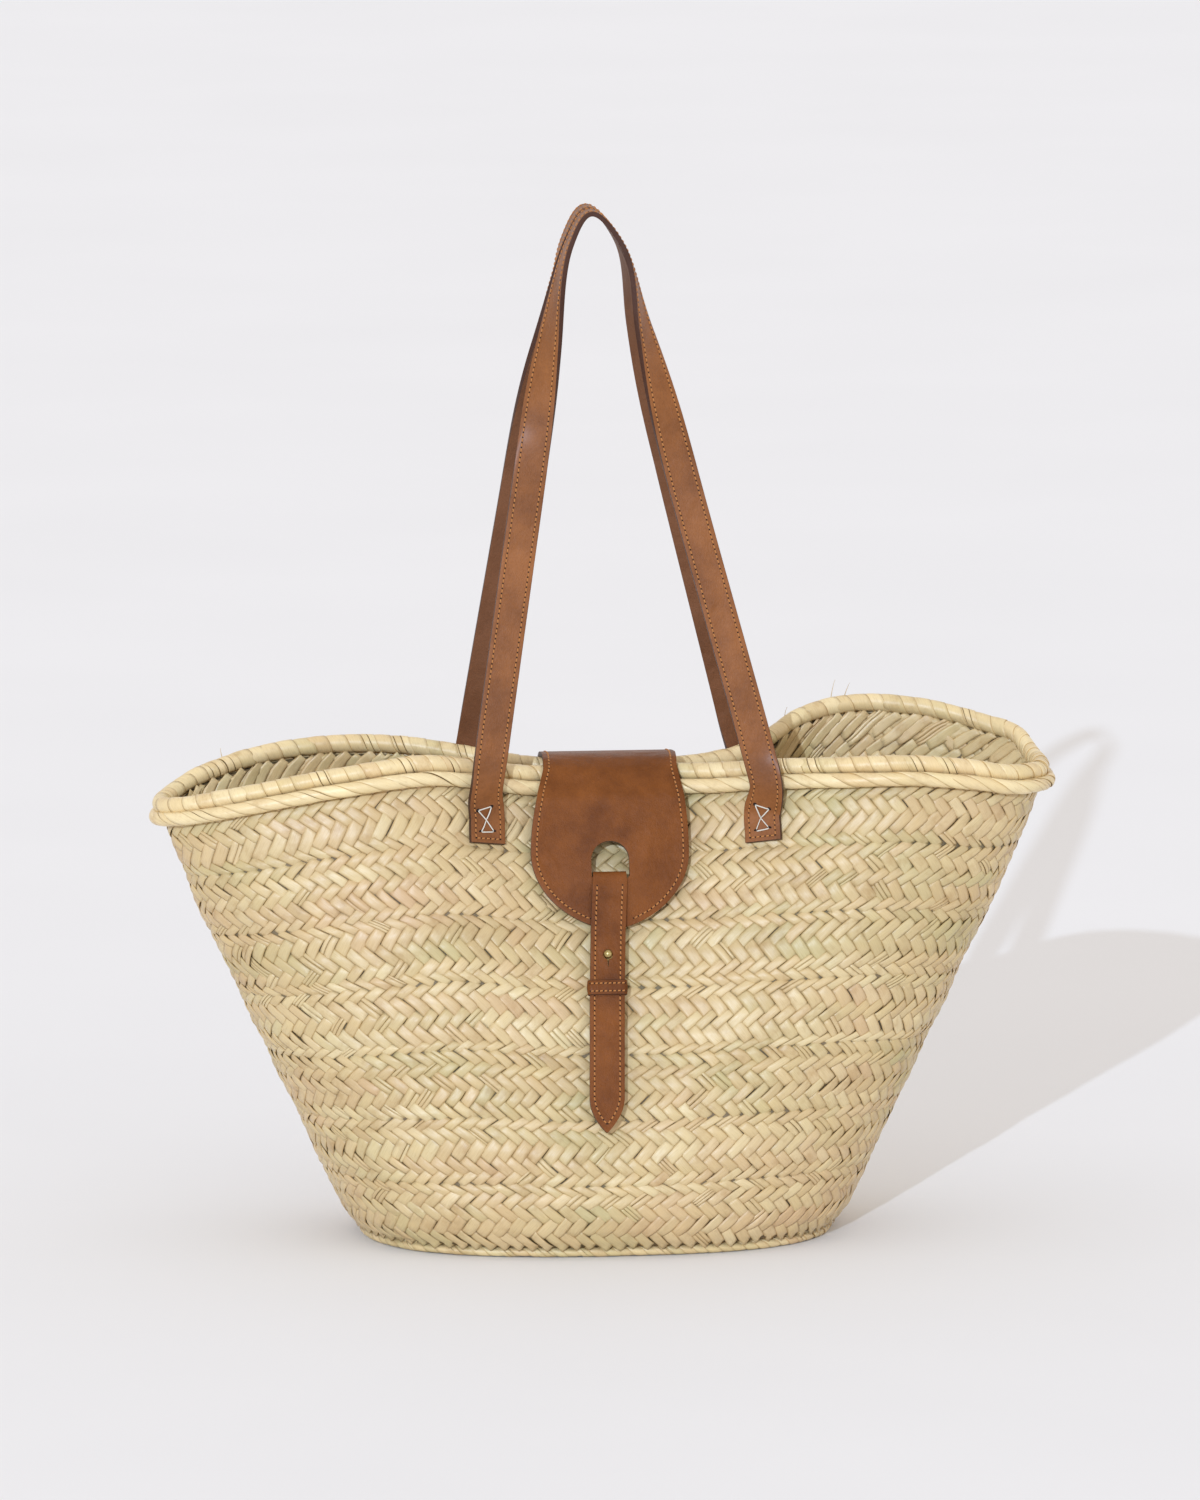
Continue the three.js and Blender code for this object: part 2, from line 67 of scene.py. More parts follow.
# Mouth: pinched in the middle, flared towards each end
PINCH = 18.0
LEFT_FLARE = 36.0
RIGHT_FLARE = 56.0
RIGHT_END_ROUND = 0.36  # how blunt its right end is, a little more than in the part

# Flap: over the mouth from the back wall, and down in front as a panel
LEATHER = 2.8  # two layers of leather, sewn together
FOLD_DEPTH = 33.5
FOLD_HEIGHT = 277.9
FLAP_CENTRE = 1.5
FLAP_TOP = 38.5  # half widths
FLAP_WIDE = 45.5
FLAP_LENGTH = 96.5  # of the panel
FLAP_ROUND = 52.0  # distance down the panel where its end starts to round
TIP_DEPTH = 62.6
HOLE_RADIUS = 10.9
HOLE_DISTANCE = 56.6  # from the fold to the middle of the hole

# Closure strap, keeper and stud
CLOSURE_WIDTH = 20.0
CLOSURE_TOP = 213.8
CLOSURE_DEPTH = 57.0
CLOSURE_SLOPE = 0.35
CLOSURE_BOTTOM = 75.5
CLOSURE_X = -0.7
STUD_HEIGHT = 172.6
KEEPER_HEIGHT = 154.5

# Handles: each leg starts at its foot, and both meet at the apex
STRAP_WIDTH = 19.0
TAB_BOTTOM = 234.0
FOOT_X = {"left": -72.0, "right": 88.2}
FOOT_DEPTH = {"left": 48.6, "right": 60.0}
HINGE_HEIGHT = 259.0
TWIST = (430.0, 586.0)  # heights between which the strap turns edge to edge
APEX = (-8.0, -10.5, 593.5)
LEGS = {
    "left": [(-71.4, -50.2, 267), (-68, -48, 290), (-49, -29.5, 412),
             (-32.6, -17, 515), (-20, -12, 575)],
    "right": [(88.5, -61.5, 267), (83, -58.5, 290), (45.4, -32, 434),
              (22.7, -18, 525), (11, -13, 573)],
}

# ---- Values of the fine weave, which the part leaves out ----

SLAT_PITCH = 8.9  # along a row of slats
TUCK_PITCH = 9.6  # along the row of tucked tails inside the mouth
TUCK_DEPTH = 0.055  # share of the wall's height that the tucked tails cover
CORE_INSET = 1.1  # a roll's core stays this far inside its wraps


def unit(v):
    """Vectors of length 1 along v, for arrays of vectors."""
    return v / np.maximum(np.linalg.norm(v, axis=-1, keepdims=True), 1e-9)


def smoothstep(x, low, high):
    """Eases from 0 at low to 1 at high."""
    t = np.clip((np.asarray(x, float) - low) / (high - low), 0, 1)
    return t * t * (3 - 2 * t)


def distances(path):
    """How far along a path each of its points is."""
    return np.concatenate([[0], np.cumsum(np.linalg.norm(np.diff(path, axis=0), axis=1))])


def along_path(s, travel, path):
    """Points of a path, or vectors given along it, at distances s."""
    return np.stack([np.interp(s, travel, path[:, k]) for k in range(path.shape[1])], -1)


def smoothed(path, window):
    """A path with its bends rounded over a number of points to each side; its ends stay put."""
    kernel = np.hanning(2 * window + 1)
    kernel /= kernel.sum()
    before = 2 * path[:1] - path[window:0:-1]
    after = 2 * path[-1:] - path[-2:-window - 2:-1]
    padded = np.concatenate([before, path, after])
    return np.stack([np.convolve(padded[:, k], kernel, "valid") for k in range(path.shape[1])], 1)


def through(points):
    """A smooth curve y(x) through a few points, for arrays."""
    xs = np.array([p[0] for p in points], float)
    ys = np.array([p[1] for p in points], float)
    slopes = np.empty_like(ys)
    slopes[1:-1] = (ys[2:] - ys[:-2]) / (xs[2:] - xs[:-2])
    slopes[0] = (ys[1] - ys[0]) / (xs[1] - xs[0])
    slopes[-1] = (ys[-1] - ys[-2]) / (xs[-1] - xs[-2])

    def value(x):
        x = np.asarray(x, float)
        i = np.clip(np.searchsorted(xs, x) - 1, 0, len(xs) - 2)
        width = xs[i + 1] - xs[i]
        t = np.clip((x - xs[i]) / width, 0, 1)
        return (
            ys[i] * (1 + 2 * t) * (1 - t) ** 2
            + width * slopes[i] * t * (1 - t) ** 2
            + ys[i + 1] * t * t * (3 - 2 * t)
            + width * slopes[i + 1] * t * t * (t - 1)
        )

    return value


half_length = through(
    [(0, 139.5), (0.03, 145.5), (0.08, 151.5), (0.15, 160), (0.34, 182), (0.57, 208.5),
     (0.76, 231), (1, 254)]
)
belly_half_depth = through([(0, 93), (0.04, 98), (0.1, 101), (1, 101)])
lean = through([(0, -3.5), (1, 0.5)])
rim_back = through(
    [(-1, 258), (-0.9, 271), (-0.7, 282), (-0.44, 283.5), (-0.17, 274.5), (0, 273), (0.29, 274),
     (0.39, 283), (0.47, 294), (0.6, 300), (0.77, 297), (0.92, 288), (0.975, 284), (1, 275)]
)
rim_front = through(
    [(-1, 258), (-0.79, 271), (-0.62, 280), (-0.44, 285.5), (-0.33, 283), (-0.18, 276), (0, 275),
     (0.22, 276), (0.39, 281), (0.64, 285), (0.79, 282), (0.9, 277), (1, 275)]
)


def wall_point(angle, level):
    """Points of the wall's outer face, for arrays of angle and of level from foot to top."""
    angle, level = np.broadcast_arrays(np.asarray(angle, float), np.asarray(level, float))
    across = np.cos(angle)
    side = np.sin(angle)
    top = np.where(side < 0, rim_front(across), rim_back(across)) - UPPER_LIFT - UPPER_ROLL
    opening = np.maximum((level - 0.1) / 0.9, 0) ** 1.5
    belly = belly_half_depth(level) * (1 + 0.25 * across**2)
    flare = PINCH + LEFT_FLARE * smoothstep(-across, 0, 0.62)
    flare = flare + RIGHT_FLARE * smoothstep(across, 0.05, 0.68)
    mouth = flare * np.sqrt(1 + across**2)
    depth = belly + (mouth - belly) * opening
    blunt = RIGHT_END_ROUND * opening * smoothstep(across, 0.3, 1)
    side = np.sign(side) * np.abs(side) ** (1 - blunt)
    return np.stack(
        [lean(level) + half_length(level) * across, depth * side, WALL_FOOT + (top - WALL_FOOT) * level], -1
    )


def surface_normal(surface, u, v, step=1e-3):
    """The direction a surface faces at u, v."""
    du = surface(u + step, v) - surface(u - step, v)
    dv = surface(u, v + step) - surface(u, v - step)
    return unit(np.cross(du, dv))


def wall_place(side, x, z):
    """Angle and level of the wall's point at one x and height."""
    x = np.asarray(x, float)
    z = np.asarray(z, float)
    level = z / 262.0 + 0 * x
    angle = 0 * level
    for _ in range(20):
        across = np.clip((x - lean(level)) / half_length(level), -1, 1)
        angle = side * np.arccos(across)
        level = (z - WALL_FOOT) / (wall_point(angle, 1.0)[..., 2] - WALL_FOOT)
    return angle, level


def wall_at(side, x, z, lift=0.0):
    """A point of the wall at one x and height, lifted off its face."""
    angle, level = wall_place(side, x, z)
    return wall_point(angle, level) + surface_normal(wall_point, angle, level) * np.asarray(lift)[..., None]


# ---- Mesh building ----


PLAIN = (0.5, 0.5, 0.5)  # the tone of a shell whose material has no use for one


def linked(name, data):
    """A new object in the scene."""
    obj = bpy.data.objects.new(name, data)
    bpy.context.scene.collection.objects.link(obj)
    return obj


def face_outward(mesh, weld=None):
    """Turns all faces of a closed mesh outward, after joining points nearer than weld."""
    made = bmesh.new()
    made.from_mesh(mesh)
    if weld:
        bmesh.ops.remove_doubles(made, verts=made.verts, dist=weld)
    bmesh.ops.recalc_face_normals(made, faces=made.faces)
    made.to_mesh(mesh)
    made.free()


def ring_faces(rings, sides, closed):
    """The faces between rings of points; closed also joins the last ring to the first."""
    faces = []
    for i in range(rings if closed else rings - 1):
        after = (i + 1) % rings
        for j in range(sides):
            beside = (j + 1) % sides
            faces.append((i * sides + j, i * sides + beside, after * sides + beside, after * sides + j))
    return faces


class Shells:
    """Collects closed thin shells, each a grid with a thickness, into one mesh."""

    def __init__(self):
        self.verts = []
        self.faces = []
        self.uvs = []
        self.places = []
        self.tones = []
        self.materials = []
        self.count = 0

    def add(self, top, bottom, uv, tone, material=0):
        """top, bottom: (n, m, 3) grids in mm; uv: (n, m, 2); tone: 3 numbers for the whole shell."""
        n, m = top.shape[:2]
        base = self.count
        self.verts.append(top.reshape(-1, 3))
        self.verts.append(bottom.reshape(-1, 3))
        self.count += 2 * n * m
        i, j = np.meshgrid(np.arange(n - 1), np.arange(m - 1), indexing="ij")
        a = (i * m + j).ravel()
        quads = np.stack([a, a + 1, a + m + 1, a + m], 1)
        under = quads[:, ::-1] + n * m
        ring = np.concatenate(
            [np.arange(m), np.arange(1, n) * m + m - 1, (n - 1) * m + np.arange(m - 2, -1, -1),
             np.arange(n - 2, 0, -1) * m]
        )
        after = np.roll(ring, -1)
        rim = np.stack([after, ring, ring + n * m, after + n * m], 1)
        faces = np.concatenate([quads, under, rim]) + base
        self.faces.append(faces)
        flat_uv = np.concatenate([uv.reshape(-1, 2), uv.reshape(-1, 2)])
        self.uvs.append(flat_uv[faces - base].reshape(-1, 2))
        local = np.stack(np.meshgrid(np.linspace(0, 1, n), np.linspace(0, 1, m), indexing="ij"), -1)
        flat_local = np.concatenate([local.reshape(-1, 2), local.reshape(-1, 2)])
        self.places.append(flat_local[faces - base].reshape(-1, 2))
        self.tones.append(np.tile(np.array([*tone, 1.0]), (2 * n * m, 1)))
        self.materials.append(np.full(len(faces), material))

    def build(self, name, materials):
        """Makes the object: its faces, leaf coordinates, tones and materials."""
        verts = np.concatenate(self.verts) * MM
        faces = np.concatenate(self.faces)
        mesh = bpy.data.meshes.new(name)
        mesh.from_pydata(verts.tolist(), [], faces.tolist())
        layer = mesh.uv_layers.new(name="Leaf")
        layer.data.foreach_set("uv", np.concatenate(self.uvs).astype(np.float32).ravel())
        layer = mesh.uv_layers.new(name="Place")
        layer.data.foreach_set("uv", np.concatenate(self.places).astype(np.float32).ravel())
        tone = mesh.attributes.new("tone", "FLOAT_COLOR", "POINT")
        tone.data.foreach_set("color", np.concatenate(self.tones).astype(np.float32).ravel())
        mesh.polygons.foreach_set("material_index", np.concatenate(self.materials))
        mesh.polygons.foreach_set("use_smooth", np.full(len(faces), True))
        for material in materials:
            mesh.materials.append(material)
        mesh.update()
        return linked(name, mesh)


def grid_object(name, top, bottom, uv, material):
    """One closed thin shell as an object."""
    shells = Shells()
    shells.add(top, bottom, uv, PLAIN)
    return shells.build(name, [material])


def place(obj, body, slot, *nodes):
    """Gives a piece its body, unless it bends between two, and the design's nodes it stands for."""
    if body:
        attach(obj, body)
    if nodes:
        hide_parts(*nodes)
    return obj


# ---- Materials ----


def new_material(name):
    """A material with one Principled shader, and its node tree."""
    material = bpy.data.materials.new(name)
    material.use_nodes = True
    tree = material.node_tree
    tree.nodes.clear()
    out = tree.nodes.new("ShaderNodeOutputMaterial")
    shader = tree.nodes.new("ShaderNodeBsdfPrincipled")
    tree.links.new(shader.outputs["BSDF"], out.inputs["Surface"])
    return material, tree, shader


def node(tree, kind, **values):
    """A node with its properties and unlinked inputs set."""
    made = tree.nodes.new(kind)
    for key, value in values.items():
        if hasattr(made, key):
            setattr(made, key, value)
        else:
            made.inputs[key.replace("_", " ")].default_value = value
    return made


def ramp(tree, source, stops):
    """The colour at a value, from stops of (value, colour)."""
    made = tree.nodes.new("ShaderNodeValToRGB")
    elements = made.color_ramp.elements
    while len(elements) < len(stops):
        elements.new(0.5)
    for element, (at, colour) in zip(elements, stops):
        element.position = at
        element.color = (*colour, 1)
    tree.links.new(source, made.inputs["Fac"])
    return made.outputs["Color"]


def mix(tree, kind, factor, a, b):
    """Colour b laid over colour a; each can be a value or another node's output."""
    made = tree.nodes.new("ShaderNodeMix")
    made.data_type = "RGBA"
    made.blend_type = kind
    for value, socket in ((factor, made.inputs[0]), (a, made.inputs[6]), (b, made.inputs[7])):
        if isinstance(value, (int, float)):
            socket.default_value = value
        elif isinstance(value, tuple):
            socket.default_value = (*value, 1)
        else:
            tree.links.new(value, socket)
    return made.outputs[2]


def math_node(tree, operation, a, b=0.0):
    """One sum on values or other nodes' outputs."""
    made = tree.nodes.new("ShaderNodeMath")
    made.operation = operation
    for value, socket in ((a, made.inputs[0]), (b, made.inputs[1])):
        if isinstance(value, (int, float)):
            socket.default_value = value
        else:
            tree.links.new(value, socket)
    return made.outputs[0]


def range_node(tree, source, low, high, to_low, to_high):
    """Moves a value from the range low to high into the range to_low to to_high."""
    made = tree.nodes.new("ShaderNodeMapRange")
    for name, value in (("From Min", low), ("From Max", high), ("To Min", to_low), ("To Max", to_high)):
        made.inputs[name].default_value = value
    tree.links.new(source, made.inputs["Value"])
    return made.outputs["Result"]


def noise(tree, where, scale, detail, roughness, distortion=0.0):
    """Noise from 0 to 1 over the places that where gives."""
    made = node(tree, "ShaderNodeTexNoise", Scale=scale, Detail=detail, Roughness=roughness,
                Distortion=distortion)
    tree.links.new(where, made.inputs["Vector"])
    return made.outputs["Fac"]


def bumped(tree, height, strength, distance, over=None):
    """The surface's normal with a height worked into it, over another normal if one is given."""
    made = node(tree, "ShaderNodeBump", Strength=strength, Distance=distance)
    tree.links.new(height, made.inputs["Height"])
    if over:
        tree.links.new(over, made.inputs["Normal"])
    return made.outputs["Normal"]


def palm_leaf(name, dark=1.0, shade_edge_width=0.10, gloss=0.27, shade_edge_tone=(0.82, 0.72, 0.58)):
    """Dried palm leaf: a tone for each leaf, fine fibres along it, stains, and painted shade along its long
    edges where it meets its neighbours.
    """
    material, tree, shader = new_material(name)
    tone = tree.nodes.new("ShaderNodeAttribute")
    tone.attribute_name = "tone"
    parts = tree.nodes.new("ShaderNodeSeparateColor")
    tree.links.new(tone.outputs["Color"], parts.inputs["Color"])
    uv = tree.nodes.new("ShaderNodeUVMap")
    uv.uv_map = "Leaf"
    scaled = tree.nodes.new("ShaderNodeMapping")
    scaled.inputs["Scale"].default_value = (1.0, 0.05, 1.0)
    tree.links.new(uv.outputs["UV"], scaled.inputs["Vector"])
    fibre = noise(tree, scaled.outputs["Vector"], 16.0, 5.0, 0.7)
    where = tree.nodes.new("ShaderNodeTexCoord").outputs["Object"]
    patch = noise(tree, where, 13.0, 2.0, 0.5)
    stain = noise(tree, where, 75.0, 4.0, 0.65)
    patched = math_node(tree, "MULTIPLY", patch, 0.5)
    light = math_node(tree, "ADD", parts.outputs["Red"], patched)
    # dark scales the whole colour: copies made lighter with it carry painted light, and darker ones painted
    # shade.
    base = ramp(tree, math_node(tree, "SUBTRACT", light, 0.25), [
        (0.0, (0.48 * dark, 0.325 * dark, 0.155 * dark)),
        (0.3, (0.56 * dark, 0.40 * dark, 0.20 * dark)),
        (0.62, (0.62 * dark, 0.465 * dark, 0.24 * dark)),
        (1.0, (0.71 * dark, 0.575 * dark, 0.33 * dark)),
    ])
    green_patch = range_node(tree, patch, 0.42, 0.62, 1.1, 0.15)
    green_part = math_node(tree, "MULTIPLY", parts.outputs["Green"], green_patch)
    tinted = mix(tree, "MIX", green_part, base, (0.45 * dark, 0.405 * dark, 0.19 * dark))
    pink_patch = range_node(tree, patch, 0.4, 0.65, 0.2, 1.0)
    pink_part = math_node(tree, "MULTIPLY", parts.outputs["Blue"], pink_patch)
    tinted = mix(tree, "MIX", pink_part, tinted, (0.57 * dark, 0.365 * dark, 0.20 * dark))
    streaks = ramp(tree, fibre, [
        (0.28, (0.74, 0.68, 0.58)), (0.42, (0.92, 0.90, 0.86)),
        (0.56, (1, 1, 1)), (0.75, (1.08, 1.07, 1.05)),
    ])
    fibred = mix(tree, "MULTIPLY", 0.8, tinted, streaks)
    stained = ramp(tree, stain, [
        (0.28, (0.80, 0.72, 0.62)), (0.46, (1, 1, 1)), (0.75, (1.08, 1.07, 1.02)),
    ])
    colour = mix(tree, "MULTIPLY", 0.85, fibred, stained)
    local = tree.nodes.new("ShaderNodeUVMap")
    local.uv_map = "Place"
    axes = tree.nodes.new("ShaderNodeSeparateXYZ")
    tree.links.new(local.outputs["UV"], axes.inputs["Vector"])
    # Painted shade: each slat or wrap is darker along its long edges, where it meets the next one.
    from_middle = math_node(tree, "ABSOLUTE", math_node(tree, "SUBTRACT", axes.outputs["Y"], 0.5))
    wobble = math_node(tree, "MULTIPLY", math_node(tree, "SUBTRACT", stain, 0.5), 0.12)
    rimmed = math_node(tree, "ADD", from_middle, wobble)
    edges = range_node(tree, rimmed, 0.5 - shade_edge_width, 0.5, 0.0, 1.0)
    colour = mix(tree, "MULTIPLY", edges, colour, shade_edge_tone)
    tree.links.new(colour, shader.inputs["Base Color"])
    rough = range_node(tree, fibre, 0.25, 0.75, gloss + 0.18, gloss)
    tree.links.new(rough, shader.inputs["Roughness"])
    tree.links.new(bumped(tree, fibre, 0.5, 0.0004), shader.inputs["Normal"])
    shader.inputs["Specular IOR Level"].default_value = 0.62
    return material


def leather(name, colour, gloss=0.42, mottle=1.0, shine=1.0):
    """Vegetable-tanned leather: pores, faint creases, mottled dye and rubbed lighter patches."""
    material, tree, shader = new_material(name)
    where = tree.nodes.new("ShaderNodeTexCoord").outputs["Object"]
    cloud = noise(tree, where, 34.0, 5.0, 0.62)
    fine = noise(tree, where, 900.0, 3.0, 0.6)
    crease = noise(tree, where, 110.0, 6.0, 0.7, 1.4)
    swell = noise(tree, where, 26.0, 3.0, 0.55, 0.8)
    pores = node(tree, "ShaderNodeTexVoronoi", Scale=1500.0)
    tree.links.new(where, pores.inputs["Vector"])
    r, g, b = colour
    dyed = ramp(tree, cloud, [
        (0.34, (r * (1 - 0.22 * mottle), g * (1 - 0.25 * mottle), b * (1 - 0.3 * mottle))),
        (0.5, (r, g, b)),
        (0.68, (r * (1 + 0.22 * mottle), g * (1 + 0.26 * mottle), b * (1 + 0.34 * mottle))),
    ])
    grained = ramp(tree, fine, [(0.3, (0.86, 0.84, 0.82)), (0.6, (1.04, 1.04, 1.04))])
    worn = mix(tree, "MULTIPLY", 0.7, dyed, grained)
    tree.links.new(worn, shader.inputs["Base Color"])
    height = math_node(tree, "MULTIPLY", pores.outputs["Distance"], 0.5)
    height = math_node(tree, "ADD", height, math_node(tree, "MULTIPLY", fine, 0.5))
    height = math_node(tree, "ADD", height, math_node(tree, "MULTIPLY", crease, 1.6))
    dented = bumped(tree, swell, 0.5, 0.006)
    tree.links.new(bumped(tree, height, 0.6, 0.0006, dented), shader.inputs["Normal"])
    rough = range_node(tree, crease, 0.0, 1.0, gloss - 0.08, gloss + 0.16)
    tree.links.new(rough, shader.inputs["Roughness"])
    shader.inputs["Specular IOR Level"].default_value = 0.26 * shine
    shader.inputs["Coat Weight"].default_value = 0.09 * shine
    shader.inputs["Coat Roughness"].default_value = 0.26
    return material


def thread_material(name, colour):
    """Twisted thread: a fine slanting ply."""
    material, tree, shader = new_material(name)
    uv = tree.nodes.new("ShaderNodeUVMap")
    uv.uv_map = "Leaf"
    ply = node(tree, "ShaderNodeTexWave", Scale=1.6, Distortion=0.6)
    ply.bands_direction = "DIAGONAL"
    tree.links.new(uv.outputs["UV"], ply.inputs["Vector"])
    r, g, b = colour
    # The darker bands are painted shade in the grooves between the plies.
    tone = ramp(tree, ply.outputs["Fac"], [(0.0, (r * 0.66, g * 0.62, b * 0.58)), (0.6, (r, g, b))])
    tree.links.new(tone, shader.inputs["Base Color"])
    tree.links.new(bumped(tree, ply.outputs["Fac"], 0.5, 0.0002), shader.inputs["Normal"])
    rough = range_node(tree, ply.outputs["Fac"], 0.0, 1.0, 0.55, 0.75)
    tree.links.new(rough, shader.inputs["Roughness"])
    return material


def brass_material():
    """Aged brass: darker where it isn't rubbed."""
    material, tree, shader = new_material("aged_brass")
    where = tree.nodes.new("ShaderNodeTexCoord").outputs["Object"]
    patina = noise(tree, where, 420.0, 4.0, 0.6)
    colour = ramp(tree, patina, [(0.3, (0.30, 0.22, 0.08)), (0.65, (0.62, 0.50, 0.22))])
    tree.links.new(colour, shader.inputs["Base Color"])
    rough = range_node(tree, patina, 0.0, 1.0, 0.42, 0.24)
    tree.links.new(rough, shader.inputs["Roughness"])
    shader.inputs["Metallic"].default_value = 1.0
    return material


PALM = palm_leaf("palm_leaf")
# The leaf of the rolls and the foot braid is a lighter copy: painted light that makes up for the shade
# between the wraps.
PALM_ROLL_LIT = palm_leaf("palm_roll_painted_light", dark=1.18, shade_edge_width=0.05, gloss=0.25, shade_edge_tone=(0.72, 0.60, 0.44))
# The inside's leaf is a lighter copy: painted light where the walls shade the inside.
PALM_INSIDE_LIT = palm_leaf("palm_inside_painted_light", dark=1.1)
# The cores are the same leaf made dark: painted shade seen in the gaps between slats and wraps.
PALM_CORE_SHADE = palm_leaf("palm_core_painted_shade", dark=0.34, gloss=0.5)
TAN = leather("tan_leather", (0.175, 0.052, 0.0086), gloss=0.38, mottle=1.3, shine=0.6)
# The handles' leather is a lighter, less saturated copy of the tan leather: painted sheen where the handles
# face the light.
HANDLE_TAN_SHEEN = leather("handle_leather", (0.232, 0.080, 0.0195), gloss=0.40, mottle=1.2)
EDGE = leather("burnished_edge", (0.060, 0.020, 0.009), gloss=0.5, mottle=0.5)
LINING = leather("lining_leather", (0.17, 0.066, 0.026), gloss=0.62, mottle=0.7)
STITCH = thread_material("stitch_thread", (0.56, 0.23, 0.062))
WAXED = thread_material("waxed_thread", (0.80, 0.76, 0.66))
# Near black: painted shade in the needle holes.
HOLE_SHADE = leather("needle_hole", (0.02, 0.008, 0.004), gloss=0.8, mottle=0.2)
BRASS = brass_material()

# ---- Woven body ----

# A leaf's tone is three numbers from 0 to 1: how light, how green and how pink it is.
COURSE_TONES = [
    (0.60, 0.10, 0.20), (0.66, 0.16, 0.10), (0.60, 0.26, 0.10), (0.72, 0.04, 0.12),
    (0.64, 0.20, 0.16), (0.62, 0.14, 0.30), (0.66, 0.12, 0.20),
]
INSIDE_PAINTED_LIGHT = np.array([0.16, 0.0, 0.0])  # painted light: the inside's leaves are made paler, to make up for the light that the walls keep out
ROW_VARIATION = np.array([0.05, 0.09, 0.14])  # from row to row
DRIFT = np.array([0.09, 0.16, 0.14])  # slow change of tone along a row
ROW_BULGE = 0.4  # a row of slats stands proud of the seams above and below it


def leaf_tone(course_tone):
    """The tone of one leaf, a little off the tone of its row."""
    light = np.clip(course_tone[0] + rng.normal(0, 0.11), 0, 1)
    green = np.clip(course_tone[1] + rng.normal(0, 0.12), 0, 1)
    pink = np.clip(course_tone[2] + rng.normal(0, 0.12), 0, 1)
    return light, green, pink


def lay_slat(shells, surface, centre, along, across, tone, lift=0.0, steps=(7, 5)):
    """One visible float of a leaf: it rises from under one neighbour and dives under the next."""
    t = np.linspace(-1, 1, steps[0])[:, None]
    reach = 1.2 + rng.normal(0, 0.05)
    width = np.clip(rng.normal(1.03, 0.05), 0.86, 1.14)
    skew = rng.normal(0, 0.07)
    tilt = rng.normal(0, 0.22)
    roll_in = rng.normal(0, 0.12)
    bulge = rng.normal(0.5, 0.09)
    bow = rng.normal(0, 0.04)
    seeds = rng.random(2) * 40
    strips = [(-1.0, 1.0)]
    if rng.random() < 0.09:
        cut = rng.uniform(-0.5, 0.5)
        strips = [(-1.0, cut - 0.02), (cut + 0.02, 1.0)]
        if rng.random() < 0.2:
            strips = [(-1.0, -0.35), (-0.32, 0.3), (0.33, 1.0)]
    for low, high in strips:
        q = np.linspace(low, high, steps[1] if len(strips) == 1 else 3)[None, :]
        sideways = width * (q + skew * t + bow * (1 - t**2))
        u = centre[0] + 0.5 * reach * t * along[0] + 0.5 * sideways * across[0]
        v = centre[1] + 0.5 * reach * t * along[1] + 0.5 * sideways * across[1]
        height = bulge * (1 - np.abs(t) ** 4 * 1.8) + 0.30 * (1 - q**2) + tilt * q + roll_in * t
        if len(strips) > 1:
            crown = np.cos((q - low) / (high - low) * np.pi * 2 - np.pi)
            height = height + rng.normal(0, 0.12) + 0.1 * crown
        point, normal = surface(u, v)
        top = point + normal * (lift + height)[..., None]
        bottom = top - normal * 0.3
        fibre_u = np.broadcast_to(q, u.shape) * 0.5 + seeds[0]
        fibre_v = np.broadcast_to(t, u.shape) + seeds[1]
        shells.add(top, bottom, np.stack([fibre_u, fibre_v], -1), tone)


def braid_rows(shells, surface, count, rows, first_row, tones, phase):
    """Rows of slats that lean one way and the other by turns, as a twill plait does."""
    heights = np.clip(rng.normal(1, 0.15, rows), 0.72, 1.35)
    heights = heights / heights.sum()
    edges = np.concatenate([[0], np.cumsum(heights)])
    for row in range(rows):
        lean_way = 1 if (first_row + row) % 2 else -1
        row_tones = np.array(tones) + rng.normal(0, 1, 3) * ROW_VARIATION
        waves = rng.uniform(3, 9, 3)
        offsets = rng.uniform(0, 2 * np.pi, 3)
        for column in range(count):
            shift = 0.5 * ((first_row + row) % 2) + phase
            u = (column + shift + rng.normal(0, 0.025)) / count
            v = edges[row] + (0.5 + rng.normal(0, 0.03)) * heights[row]
            along = (1.0 / count, lean_way * heights[row])
            across = (0.5 / count, -0.5 * lean_way * heights[row])
            tone = leaf_tone(row_tones + DRIFT * np.sin(waves * 2 * np.pi * u + offsets))
            lay_slat(shells, surface, (u, v), along, across, tone)


def ring_surface(level_low, level_high, face):
    """A turn of the wall as (u round, v up) in shares; face is +1 outside and -1 inside."""
    fine = np.linspace(0, 2 * np.pi, 721)
    middle = wall_point(fine, (level_low + level_high) / 2)
    travel = distances(middle)
    length = travel[-1]

    def surface(u, v):
        angle = np.interp(np.mod(u, 1.0) * length, travel, fine)
        level = level_low + (level_high - level_low) * (v - 0.034 * np.sin(2 * np.pi * v))
        point = wall_point(angle, level)
        normal = surface_normal(wall_point, angle, level)
        swell = 0.6 * np.sin(np.pi * np.clip(v, 0, 1)) - 0.35
        swell = swell + ROW_BULGE * np.abs(np.sin(np.pi * ROWS * v))
        swell = swell + 0.3 * np.sin(angle * 9 + level * 31) + 0.25 * np.sin(angle * 23 - level * 17)
        point = point + normal * swell[..., None]
        if face < 0:
            point = point - normal * (WALL_THICKNESS - 0.9)
            normal = -normal
        else:
            point = point - normal * 0.75
        return point, normal

    return surface, length


